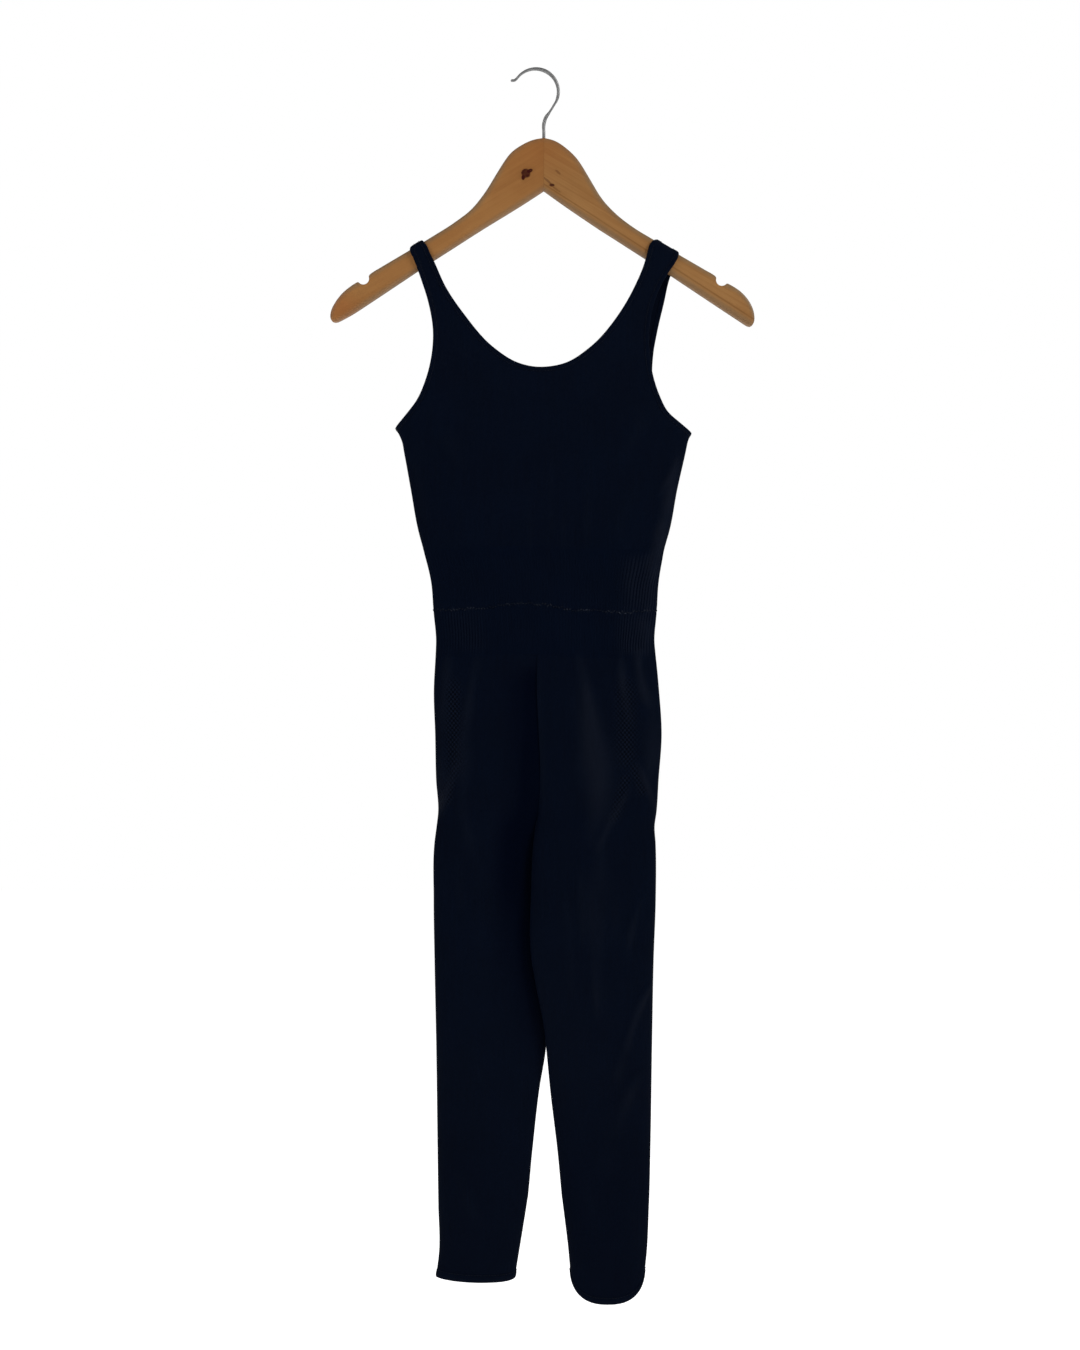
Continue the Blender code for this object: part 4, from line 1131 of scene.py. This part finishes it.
def waist_seam_threads(seam, material):
    """Loops of paler thread across the joint of the two ribbed zones, brighter in patches."""
    count = int(lengths_along(seam)[-1] / SEAM_STITCH)
    places = (np.arange(count) + 0.5) / count
    at = resampled(seam, places)
    ahead = unit(resampled(seam, np.clip(places + 0.0005, 0, 1)) - at)
    up = np.array([0.0, 0.0, 1.0])
    out = np.cross(ahead, up)
    out = unit(out * np.sign((out[:, 1] * at[:, 1]).sum()))
    chance = np.random.default_rng(SEAM_SEED).random((3, count))
    shade = seam_patches(at[:, 0]) * (0.15 + 0.85 * chance[0])
    slant = SEAM_SLANT * (chance[1] - 0.5)[:, None]
    direction = ahead * np.cos(slant) + up * np.sin(slant)
    at = at + out * 0.12 + up * (SEAM_SCATTER * (chance[2] - 0.5))[:, None]
    name = "waist_seam_thread"
    loops_of_thread(name, at, direction, out, SEAM_STITCH, SEAM_THREAD, material, shade)


# ---- legs and hems


def leg_piece(side, settings, material):
    """A leg and its half of the seat, open along the rise down to the crotch."""
    seat = np.linspace(RIB_BOTTOM, CROTCH, SEAT_ROWS + 1)
    heights = np.concatenate([seat, np.linspace(CROTCH, HEM_BLEND, LEG_ROWS + 1)[1:]])
    loops = [leg_loop(side, height) for height in heights]
    loops += [hem_row(side, share) for share in np.linspace(0, 1, HEM_ROWS + 1)[1:]]
    loops = np.array(loops)
    # Round the leg from the outer fold, and down it
    steps = np.linalg.norm(np.diff(loops[..., :2], axis=1), axis=2)
    around = np.concatenate([np.zeros((len(loops), 1)), np.cumsum(steps, axis=1)], axis=1)
    around -= around[:, LEG_COLUMNS][:, None]
    uv = np.stack([around, loops[..., 2]], axis=-1)
    index = numbered(loops)
    index[SEAT_ROWS:, -1] = index[SEAT_ROWS:, 0]
    marks = {
        "shaping": lambda points: shaping_share(points[:, 0], points[:, 2]),
        "painted_light_and_shade": lambda points: painted_light_and_shade(points, side),
    }
    wall = settings.wall / MM
    name = f"knit_leg_{side}"
    piece = cloth_shell(name, loops, cells_of(index), cells_of(uv), wall, material, "knit", marks)
    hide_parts(f"leg_{side}")
    return piece


def hem_loops(side):
    """The hem's lower edge and the line at the top of its band, both round the leg."""
    corner, _, band, _ = HEMS[side]
    top = hem_row(side, 1)
    low = leg_loop(side, corner)
    low[:, 2] = top[:, 2] - band
    return low[:-1], top[:-1]


# ---- hanger


def arm_outline(side):
    """Half of the hanger's outline, from the mitre along the top to the tip and back below."""
    sign, top = SIGN[side], WOOD_TOP[side]
    reaches = np.concatenate([np.linspace(0, 84, 48), np.linspace(86, 176, 40)])
    points = [(sign * reach, float(top(reach))) for reach in reaches]
    notch_x, notch_z = NOTCH_CENTRE[side]
    start = math.atan2(float(top(abs(notch_x) - NOTCH_RADIUS)) - notch_z, NOTCH_RADIUS)
    for turn in np.linspace(start, -math.radians(NOTCH_SWEEP), 22):
        x = notch_x - sign * NOTCH_RADIUS * math.cos(turn)
        points.append((x, notch_z + NOTCH_RADIUS * math.sin(turn)))
    points += list(dense_route(ARM_END[side], 34))
    longest = HANGER_ARM[-1][0]
    for reach in np.linspace(UNDER_REACH, 0, 60):
        low = float(wood_under(min(reach, longest))) - max(reach - longest, 0) * UNDER_SLOPE
        points.append((sign * reach, low + UNDER_SHIFT[side] * min(reach / 60, 1)))
    points = np.array(points)
    for _ in range(3):
        points[1:-1] = (points[:-2] + 2 * points[1:-1] + points[2:]) / 4
    return points


def wood_arm(side, settings, material):
    """Half of the wooden part: flat faces, rounded edges, a square end at the mitre."""
    outline = arm_outline(side)
    sign = SIGN[side]
    mirrored = outline[[1, -2]] * (-1, 1)
    padded = np.concatenate([mirrored[:1], outline, mirrored[1:]])
    along = unit(padded[2:] - padded[:-2])
    inwards = np.stack([along[:, 1], -along[:, 0]], axis=1) * sign
    under = smooth_step(-0.2, 0.4, inwards[:, 1])
    radius = (1 - under) * settings.top_round / MM + under * settings.under_round / MM
    from_notch = np.linalg.norm(outline - np.array(NOTCH_CENTRE[side]), axis=1) - NOTCH_RADIUS
    radius = radius * (NOTCH_ROUND + (1 - NOTCH_ROUND) * smooth_step(*NOTCH_BLEND, from_notch))
    half = HANGER_THICK / 2
    layers = [(radius + 0.2, np.full_like(radius, half))]
    for turn in np.radians(np.linspace(0, 90, 8)):
        layers.append((radius * (1 - math.sin(turn)), half - radius * (1 - math.cos(turn))))
    points = []
    for inset, y in [(inset, -y) for inset, y in layers] + layers[::-1]:
        x, z = (outline + inwards * inset[:, None]).T
        points.append(np.stack([sign * np.maximum(sign * x, 0) + CENTRE_X, y, z], axis=1))
    points = np.array(points) * MM
    index = numbered(points)
    mitre = np.concatenate([index[:, 0], index[::-1, -1]])
    faces = cells_of(index).tolist() + [
        index[0, ::-1].tolist(), index[-1].tolist(), mitre.tolist()
    ]
    mesh = bpy.data.meshes.new(f"wood_arm_{side}")
    mesh.from_pydata(points.reshape(-1, 3).tolist(), [], faces)
    face_outwards(mesh)
    piece = placed_piece(f"wood_arm_{side}", mesh, material, WOOD_SHARP)
    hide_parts(f"hanger_arm_{side}")
    return piece


def face_outwards(mesh):
    shape = bmesh.new()
    shape.from_mesh(mesh)
    bmesh.ops.remove_doubles(shape, verts=shape.verts, dist=1e-7)
    bmesh.ops.recalc_face_normals(shape, faces=shape.faces)
    if shape.calc_volume(signed=True) < 0:
        bmesh.ops.reverse_faces(shape, faces=shape.faces)
    shape.to_mesh(mesh)
    shape.free()


def hook_route():
    """The wire's centre line: a small outward curl, the round hook, a bend back to the stem."""
    turn = np.radians(np.linspace(*HOOK_ANGLES, 70))
    centre = (0, WIRE_RADIUS - HOOK_RADIUS)
    round_part = centre + HOOK_RADIUS * np.stack([np.cos(turn), np.sin(turn)], axis=1)
    curl = dense_route([*HOOK_CURL, round_part[0]], 16)
    bend = dense_route([round_part[-1], *HOOK_BEND], 40)
    return np.concatenate([curl[:-1], round_part, bend[1:], [(CENTRE_X, STEM_END)]])


def wire_hook(material):
    """The hook's wire, round, with a domed tip at the curl."""
    route = hook_route()
    sides = 20
    along = unit(np.gradient(route, axis=0))
    radius = np.interp(lengths_along(route) / lengths_along(route)[-1], *zip(*WIRE_WIDTHS))
    radius *= WIRE_DRAWN * WIRE_RADIUS
    dome = [(0.995, 0.12), (0.9, 0.44), (0.7, 0.71), (0.4, 0.917)]
    tip = [route[0] - along[0] * radius[0] * reach for reach, _ in dome]
    route = np.concatenate([tip, route])
    along = np.concatenate([np.repeat(along[:1], len(dome), axis=0), along])
    radius = np.concatenate([[radius[0] * share for _, share in dome], radius])
    turn = (np.arange(sides) * TURN / sides)[None, :, None]
    sideways = np.insert(along[:, ::-1] * (1, -1), 1, 0, axis=1)[:, None]
    centre = np.insert(route, 1, 0, axis=1)[:, None]
    depth = np.array([0.0, 1.0, 0.0])
    points = centre + radius[:, None, None] * (sideways * np.cos(turn) + depth * np.sin(turn))
    faces = tube_faces(len(route), sides)
    corner_uv = np.zeros((len(faces), 4, 2))
    piece = make_piece("wire_hook", points, faces, corner_uv, material, "wire", centre=0)
    face_outwards(piece.data)
    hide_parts("hanger_hook")
    return piece


# ---- materials


class Value:
    """An output of a node. Arithmetic with it adds Math nodes to the recipe."""

    def __init__(self, recipe, socket):
        self.recipe = recipe
        self.socket = socket

    def __add__(self, other):
        return self.recipe.math("ADD", self, other)

    def __sub__(self, other):
        return self.recipe.math("SUBTRACT", self, other)

    def __mul__(self, other):
        return self.recipe.math("MULTIPLY", self, other)

    def __truediv__(self, other):
        return self.recipe.math("DIVIDE", self, other)

    def __abs__(self):
        return self.recipe.math("ABSOLUTE", self)

    def wave(self, wavelength):
        """A sine wave of the value."""
        return self.recipe.math("SINE", self * (TURN / wavelength))

    def span(self, low, high, to_low, to_high):
        """The value moved from one range to another, and kept in it."""
        inputs = {"From Min": low, "From Max": high, "To Min": to_low, "To Max": to_high}
        return self.recipe.node("ShaderNodeMapRange", {"Value": self, **inputs})


class Recipe:
    """The nodes of a material or a world, added one at a time."""

    def __init__(self, owner):
        self.owner = owner
        owner.use_nodes = True
        self.tree = owner.node_tree

    def node(self, kind, inputs=None, output=0, **settings):
        node = self.tree.nodes.new(kind)
        for name, value in settings.items():
            setattr(node, name, value)
        for name, value in (inputs or {}).items():
            self.feed(node.inputs[name], value)
        return Value(self, node.outputs[output])

    def feed(self, socket, value):
        if isinstance(value, Value):
            self.tree.links.new(value.socket, socket)
        else:
            socket.default_value = value

    def finish(self, inputs):
        """Feeds the material's shader and returns the material."""
        for name, value in inputs.items():
            self.feed(self.tree.nodes["Principled BSDF"].inputs[name], value)
        return self.owner

    def math(self, operation, *values, clamp=False):
        inputs = dict(enumerate(values))
        return self.node("ShaderNodeMath", inputs, operation=operation, use_clamp=clamp)

    def split(self, vector):
        first = self.node("ShaderNodeSeparateXYZ", {"Vector": vector})
        return [Value(self, output) for output in first.socket.node.outputs]

    def mapped(self, place, vector_type="POINT", **inputs):
        inputs = {"Vector": place, **inputs}
        return self.node("ShaderNodeMapping", inputs, vector_type=vector_type)

    def length(self, vector):
        return self.node("ShaderNodeVectorMath", {0: vector}, "Value", operation="LENGTH")

    def mark(self, name):
        """One of the mesh's own values, point by point."""
        return self.node("ShaderNodeAttribute", output="Fac", attribute_name=name)

    def noise(self, place, scale, detail=3.0, rough=0.5, distortion=0.0):
        inputs = {"Scale": scale, "Detail": detail, "Roughness": rough, "Distortion": distortion}
        return self.node("ShaderNodeTexNoise", {"Vector": place, **inputs}, "Fac")

    def blend(self, share, first, second):
        """A mix of two colours."""
        first, second = (
            (*colour, 1) if isinstance(colour, tuple) else colour for colour in (first, second)
        )
        inputs = {"Factor": share, "A": first, "B": second}
        return self.node("ShaderNodeMix", inputs, "Result", data_type="RGBA")

    def bumps(self, *layers):
        """Bumps of heights, distances and strengths, one over another."""
        normal = {}
        for height, distance, strength in layers:
            inputs = {"Height": height, "Distance": distance, "Strength": strength, **normal}
            normal = {"Normal": self.node("ShaderNodeBump", inputs)}
        return normal["Normal"]


def tinted(colour, amount):
    """The colour times one amount, or times one for each channel."""
    return tuple(float(channel) for channel in np.array(colour) * amount)


def knit_material(name, settings, colour, lengthwise=False, fluff=1.0):
    """Fine plain knit: columns of small Vs, faint lengthwise streaks, slight fuzz, and painted
    light and shade from the mesh's marks.
    """
    recipe = Recipe(bpy.data.materials.new(name))
    place = recipe.node("ShaderNodeUVMap", uv_map="cloth")
    across, down, _ = recipe.split(place)
    from_waist = abs(down + WAIST_MIDDLE)
    if lengthwise:
        across, down = down, across
    wale = settings.wale / MM
    in_wale = recipe.math("FRACT", across / wale) - 0.5
    chevron = down / (wale * 0.78) + abs(in_wale) * 1.5
    stitch = abs(across.wave(wale)) * (chevron.wave(1) * 0.35 + 0.65)

    streak_scale = (0.02, 0.5, 1) if lengthwise else (0.5, 0.02, 1)
    streaks = recipe.noise(recipe.mapped(place, Scale=streak_scale), 1, 3, 0.6)
    fuzz = recipe.noise(place, 0.9, 4, 0.65)
    patches = recipe.noise(place, 0.018, 2, 0.5)
    tone = streaks.span(0.3, 0.7, 0, 0.45) + patches.span(0.35, 0.65, 0, 0.3)
    tone = recipe.math("ADD", tone, fuzz.span(0.3, 0.7, 0, 0.25), clamp=True)
    dots = across.wave(OPENWORK_SPACING[0]) * down.wave(OPENWORK_SPACING[1])
    shaping = recipe.mark("shaping")
    holes = dots.span(0.1, 0.6, 0, 1) * shaping
    pulled = dots.span(-0.6, 0, 0.85, 0) * shaping
    pale = tuple(np.array(colour) + np.array((0.85, 0.95, 1.25)) * max(colour) * 0.44)
    # Painted light and shade from the mesh: a darker, bluer painted shade in the troughs and a
    # paler painted highlight on the ridges
    painted_light = recipe.mark("painted_light_and_shade")
    shown = recipe.blend(tone, tinted(colour, 0.8), tinted(colour, 1.22))
    for share, other in (
        (pulled, tinted(pale, 1.3)),
        (holes, tinted(colour, 0.3)),
        (painted_light.span(-1, 0, 1, 0), tinted(colour, (0.15, 0.5, 0.68))),
        (painted_light.span(0.05, 1, 0, 1), pale),
    ):
        shown = recipe.blend(share, shown, other)
    gloss = from_waist.span(48, 74, 0.40, 0.46) + fuzz.span(0.3, 0.7, 0, 0.1)
    return recipe.finish({
        "Base Color": shown,
        "Roughness": gloss * painted_light.span(-1, 0, 2.1, 1),
        "Specular IOR Level": 0.022,
        "Sheen Weight": 0.014,
        "Sheen Roughness": 0.3,
        "Sheen Tint": (0.75, 0.82, 1, 1),
        "Normal": recipe.bumps(
            (streaks, 0.00018, 0.7 * fluff),
            (stitch, 0.00012, 0.6 * fluff),
            (holes * -1 + 1, 0.0005, 1.0),
            (fuzz, 0.00006, 0.5 * fluff),
        ),
    })


def thread_material(name, colour, dark):
    """Twisted sewing thread, its shade given loop by loop."""
    recipe = Recipe(bpy.data.materials.new(name))
    along, around, _ = recipe.split(recipe.node("ShaderNodeUVMap", uv_map="cloth"))
    ply = (along * 9 + around).wave(TURN / 4)
    worn = recipe.math("MULTIPLY", recipe.mark("shade"), ply * 0.15 + 0.85, clamp=True)
    return recipe.finish({
        "Base Color": recipe.blend(worn, tuple(dark), tuple(colour)),
        "Roughness": 0.7,
        "Specular IOR Level": 0.08,
        "Normal": recipe.bumps((ply, 0.0001, 0.5)),
    })


def top_line(recipe, side, from_mitre, step):
    """Height of the arm's top edge, in millimetres, a step further along the arm."""
    column = 1 if side == "left" else 2
    line = [(row[0], row[column]) for row in HANGER_ARM]
    line += [(abs(x), z) for x, z in ARM_END[side][:5]]
    reach, lowest = line[-1]
    share = recipe.math("MULTIPLY_ADD", from_mitre, 1 / reach, step / reach, clamp=True)
    curve = recipe.node("ShaderNodeFloatCurve", {"Value": share})
    mapping = curve.socket.node.mapping
    points = mapping.curves[0].points
    points[0].location = (0, 1 - line[0][1] / lowest)
    points[1].location = (1, 0)
    for x, z in line[1:-1]:
        points.new(x / reach, 1 - z / lowest)
    mapping.update()
    return curve * -lowest + lowest


def pine_material(side, settings):
    """Lacquered pine with its grain along the arm, a knot and small marks by the mitre."""
    recipe = Recipe(bpy.data.materials.new(f"pine_{side}"))
    left = side == "left"
    grain_colour = settings.grain_colour
    here = recipe.node("ShaderNodeTexCoord", output="Object")
    in_mm = recipe.mapped(here, Scale=(1000, 1000, 1000))
    lean = recipe.mapped(in_mm, Rotation=(0, -SIGN[side] * math.radians(ARM_ANGLE), 0))
    bands, fibre, pores, cloudy = (
        recipe.noise(recipe.mapped(lean, Scale=scale), 1, detail, rough, distortion)
        for scale, detail, rough, distortion in (
            ((0.005, 0.06, 0.2 if left else 0.32), 3, 0.6, 0.4),
            ((0.03, 0.9, 0.9), 4, 0.6, 0),
            ((0.16, 2.2, 2.2), 2, 0.5, 0),
            ((0.02, 0.04, 0.04), 2, 0.5, 0),
        )
    )
    grain = bands.span(0.36, 0.66, 0, 0.26 if left else 0.42) + fibre.span(0.3, 0.7, 0, 0.22)
    grain = recipe.math("ADD", grain, cloudy.span(0.35, 0.65, 0, 0.3), clamp=True)
    early, late = (
        tinted(shade, WOOD_TINT[side]) for shade in (settings.wood_colour, grain_colour)
    )
    colour = recipe.blend(grain, early, late)

    x, _, z = recipe.split(in_mm)
    from_mitre = abs(x - CENTRE_X)
    slope = math.radians(UNDER_ANGLE)
    above = z * math.cos(slope) + UNDER_START + from_mitre * math.sin(slope)
    ahead, here_top, behind = (top_line(recipe, side, from_mitre, step) for step in (1, 0, -1))
    slant = (ahead - behind) * 0.5
    below = (here_top - z) / recipe.math("SQRT", slant * slant + 1)
    under = (1.6, 6.0, 0.56) if left else (0.6, 4.4, 0.5)
    # Painted shade along the top edge and along the underside
    layers = [
        (away.span(near, far, most, 0), EDGE_SHADE_COLOUR)
        for away, (near, far, most) in ((below, (1.6, 6.2, 0.68)), (above, under))
    ]
    if left:
        layers.append((from_mitre.span(0, 16, 0.4, 0), tinted(grain_colour, 0.9)))
    else:
        layers.append((abs(above - 5).span(0.3, 1.1, 0.5, 0), tinted(grain_colour, 0.55)))
    layers.append((from_mitre.span(0.2, 0.6, 0.25, 0), tinted(grain_colour, 0.42)))

    def spot(x, z, wide, tall, ragged, tilt):
        """The distance from a mark's heart: 1 at its ragged edge."""
        place = recipe.mapped(
            in_mm, "TEXTURE", Location=(x + CENTRE_X, 0, z),
            Rotation=(0, math.radians(tilt), 0), Scale=(wide, 50, tall),
        )
        return recipe.length(place) + (recipe.noise(in_mm, 0.35, 3, 0.6) - 0.5) * ragged

    wide, tall, height = CROWN
    place = (-CENTRE_X / wide, 0, -height / tall)
    crown = recipe.mapped(in_mm, Location=place, Scale=(1 / wide, 0, 1 / tall))
    layers.append((recipe.length(crown).span(0.2, 1.5, 0.45, 0), CROWN_COLOUR))
    if left:
        layers.append((spot(*WARM_TIP).span(0.3, 1.6, 0.5, 0), TIP_COLOUR))
    flecks = recipe.noise(in_mm, 0.8, 2, 0.5).span(0.55, 0.7, 1, 0.82)
    for *mark, strength in KNOTS[side]:
        away = spot(*mark)
        layers.append((away.span(0.9, 2.4, 0.22 * strength, 0), tinted(grain_colour, 0.7)))
        heart = away.span(0.85, 1.1, strength, 0) * flecks
        layers.append((heart, tuple(settings.knot_colour)))
    for share, other in layers:
        colour = recipe.blend(share, colour, other)
    return recipe.finish({
        "Base Color": colour,
        "Roughness": fibre.span(0.3, 0.7, 0.36, 0.5),
        "Specular IOR Level": 0.15,
        "Coat Weight": 0.04,
        "Coat Roughness": 0.25,
        "Normal": recipe.bumps((fibre, 0.00012, 0.5), (pores, 0.00005, 0.5)),
    })


def wire_material(settings):
    """Bright plated wire, a little dulled."""
    recipe = Recipe(bpy.data.materials.new("plated wire"))
    worn = recipe.noise(recipe.node("ShaderNodeTexCoord", output="Object"), 260, 3, 0.6)
    colour = tuple(settings.wire_colour)
    return recipe.finish({
        "Base Color": recipe.blend(worn.span(0.35, 0.7, 0, 1), colour, tinted(colour, 0.75)),
        "Roughness": worn.span(0.3, 0.7, 0.56, 0.62),
        "Metallic": 1.0,
    })


def floor_material(settings):
    """A plain pale matt floor."""
    recipe = Recipe(bpy.data.materials.new("pale floor"))
    cloud = recipe.noise(recipe.node("ShaderNodeTexCoord", output="Object"), 3, 2)
    colour = tuple(settings.floor_colour)
    return recipe.finish({
        "Base Color": recipe.blend(cloud.span(0.3, 0.7, 0, 1), colour, tinted(colour, 0.98)),
        "Roughness": 0.9,
        "Emission Color": (*colour, 1),
        "Emission Strength": settings.floor_glow,
    })


# ---- operators


class JUMPSUIT_OT_bodice(bpy.types.Operator):
    """Makes the front and the back of the bodice with their straps"""

    bl_idname = "jumpsuit.bodice"
    bl_label = "Bodice"

    def execute(self, context):
        settings = context.scene.jumpsuit_cloth
        material = knit_material("navy knit", settings, tuple(settings.knit_colour))
        for face in ("front", "back"):
            piece = bodice_panel(face, settings, material)
        return {"FINISHED"}


class JUMPSUIT_OT_bands(bpy.types.Operator):
    """Makes the folded bands of the neck, the armholes and the hems, with their stitches"""

    bl_idname = "jumpsuit.bands"
    bl_label = "Bands"

    def execute(self, context):
        settings = context.scene.jumpsuit_cloth
        material = knit_material("navy band", settings, tuple(settings.rib_colour), True)
        dark = tinted(settings.thread_colour, 0.6)
        thread = thread_material("band thread", settings.thread_colour, dark)
        rise = settings.band_rise / MM
        wall = settings.wall / MM + 0.25
        bodice = "knit_bodice_front"
        rings = [("neck_band", neck_loops(), "neck_binding", bodice)]
        for side in ("left", "right"):
            node = f"armhole_binding_{side}"
            rings.append((f"armhole_band_{side}", armhole_loops(side), node, bodice))
        for side in ("left", "right"):
            rings.append((f"hem_band_{side}", hem_loops(side), f"hem_{side}", f"knit_leg_{side}"))
        for name, (edge, inside), node, hangs_from in rings:
            band, row, normals, cut = band_ring(name, edge, inside, material, rise, wall)
            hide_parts(node)
            max(cut * MM, 0.0101)
            thread_row(f"{name}_stitches", row, normals, thread, settings.stitch / MM)
        return {"FINISHED"}


class JUMPSUIT_OT_waist(bpy.types.Operator):
    """Makes the two ribbed zones of the waist and the seam between them"""

    bl_idname = "jumpsuit.waist"
    bl_label = "Ribbed waist"

    def execute(self, context):
        settings = context.scene.jumpsuit_cloth
        colour = tuple(settings.rib_colour)
        material = knit_material("navy rib", settings, colour, fluff=0.45)
        upper, loops = rib_band("rib_waist_upper", RIB_TOP, WAIST_SEAM, settings, material)
        lower, _ = rib_band("rib_waist_lower", WAIST_SEAM, RIB_BOTTOM, settings, material)
        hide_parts("waist_rib_upper")
        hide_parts("waist_rib_lower")
        dark = tinted(colour, 1.1)
        thread = thread_material("waist seam thread", settings.seam_colour, dark)
        waist_seam_threads(closed(loops[-1][:-1]), thread)
        return {"FINISHED"}


class JUMPSUIT_OT_legs(bpy.types.Operator):
    """Makes both legs, each with its half of the seat"""

    bl_idname = "jumpsuit.legs"
    bl_label = "Legs"

    def execute(self, context):
        settings = context.scene.jumpsuit_cloth
        material = bpy.data.materials["navy knit"]
        for side in ("left", "right"):
            piece = leg_piece(side, settings, material)
        return {"FINISHED"}


class JUMPSUIT_OT_hanger(bpy.types.Operator):
    """Makes the wooden arms and the wire hook"""

    bl_idname = "jumpsuit.hanger"
    bl_label = "Hanger"

    def execute(self, context):
        settings = context.scene.jumpsuit_hanger
        for side in ("left", "right"):
            wood_arm(side, settings, pine_material(side, settings))
        wire_hook(wire_material(settings))
        return {"FINISHED"}


class JUMPSUIT_OT_stage(bpy.types.Operator):
    """Makes the floor, the lights, the surroundings and the camera"""

    bl_idname = "jumpsuit.stage"
    bl_label = "Stage"

    def execute(self, context):
        settings = context.scene.jumpsuit_stage
        make_floor(settings)
        middle = Vector(VIEW_MIDDLE)
        for name, place, size, power, share in LIGHTS:
            make_light(name, place, middle, size, getattr(settings, power) * share)
        make_world(settings)
        make_camera(settings, middle)
        context.scene.view_settings.view_transform = "Standard"
        return {"FINISHED"}


def make_floor(settings):
    shape = bmesh.new()
    bmesh.ops.create_grid(shape, x_segments=8, y_segments=8, size=6.0)
    mesh = bpy.data.meshes.new("floor")
    shape.to_mesh(mesh)
    shape.free()
    mesh.materials.append(floor_material(settings))
    floor = linked("floor", mesh)
    floor.location.z = settings.floor_drop


def make_light(name, place, target, size, power):
    light = bpy.data.lights.new(name, "AREA")
    light.shape = "DISK"
    light.size = size
    light.energy = power
    lamp = linked(name, light)
    lamp.location = place
    lamp.rotation_euler = (target - Vector(place)).to_track_quat("-Z", "Y").to_euler()


def make_world(settings):
    """White to the eye; what lights the object is greyer, brighter above than below."""
    world = bpy.data.worlds.new("studio")
    recipe = Recipe(world)
    recipe.tree.nodes.clear()
    up = recipe.split(recipe.node("ShaderNodeTexCoord", output="Generated"))[2]
    inputs = {"Color": up.span(-1, 1, 0.55, 1.25), "Strength": settings.room_light}
    room = recipe.node("ShaderNodeBackground", inputs)
    seen = recipe.node("ShaderNodeBackground", {"Color": (1, 1, 1, 1)})
    to_camera = recipe.node("ShaderNodeLightPath", output="Is Camera Ray")
    mix = recipe.node("ShaderNodeMixShader", {0: to_camera, 1: room, 2: seen})
    recipe.feed(recipe.tree.nodes.new("ShaderNodeOutputWorld").inputs["Surface"], mix)
    bpy.context.scene.world = world


def make_camera(settings, middle):
    data = bpy.data.cameras.new("camera")
    data.sensor_width = 36.0
    data.lens = data.sensor_width * settings.camera_distance / settings.view_height
    camera = linked("camera", data)
    camera.location = (middle.x, -settings.camera_distance, middle.z)
    camera.rotation_euler = (math.pi / 2, 0, 0)
    bpy.context.scene.camera = camera


# ---- panel and registration


class JUMPSUIT_PT_panel(bpy.types.Panel):
    """Lists the settings and the pieces"""

    bl_idname = "JUMPSUIT_PT_panel"
    bl_label = "Jumpsuit"
    bl_space_type = "VIEW_3D"
    bl_region_type = "UI"
    bl_category = "Jumpsuit"

    def draw(self, context):
        for title, group, operators in PANEL_PARTS:
            box = self.layout.box()
            box.label(text=title)
            settings = getattr(context.scene, group)
            for name in settings.bl_rna.properties.keys():
                if name not in ("rna_type", "name"):
                    box.prop(settings, name)
            for operator in operators:
                box.operator(operator.bl_idname)


CLOTH_OPERATORS = (JUMPSUIT_OT_bodice, JUMPSUIT_OT_bands, JUMPSUIT_OT_waist, JUMPSUIT_OT_legs)
PANEL_PARTS = (
    ("Cloth", "jumpsuit_cloth", CLOTH_OPERATORS),
    ("Hanger", "jumpsuit_hanger", (JUMPSUIT_OT_hanger,)),
    ("Stage", "jumpsuit_stage", (JUMPSUIT_OT_stage,)),
)
GROUPS = {
    "jumpsuit_cloth": ClothSettings,
    "jumpsuit_hanger": HangerSettings,
    "jumpsuit_stage": StageSettings,
}
CLASSES = (
    *GROUPS.values(), *CLOTH_OPERATORS, JUMPSUIT_OT_hanger, JUMPSUIT_OT_stage, JUMPSUIT_PT_panel
)


def register():
    for known in CLASSES:
        bpy.utils.register_class(known)
    for name, group in GROUPS.items():
        setattr(bpy.types.Scene, name, PointerProperty(type=group))


def unregister():
    for name in GROUPS:
        delattr(bpy.types.Scene, name)
    for known in reversed(CLASSES):
        bpy.utils.unregister_class(known)


def main():
    register()
    bpy.ops.jumpsuit.bodice()
    bpy.ops.jumpsuit.bands()
    bpy.ops.jumpsuit.waist()
    bpy.ops.jumpsuit.legs()
    bpy.ops.jumpsuit.hanger()
    bpy.ops.jumpsuit.stage()


if __name__ == "__main__":
    main()
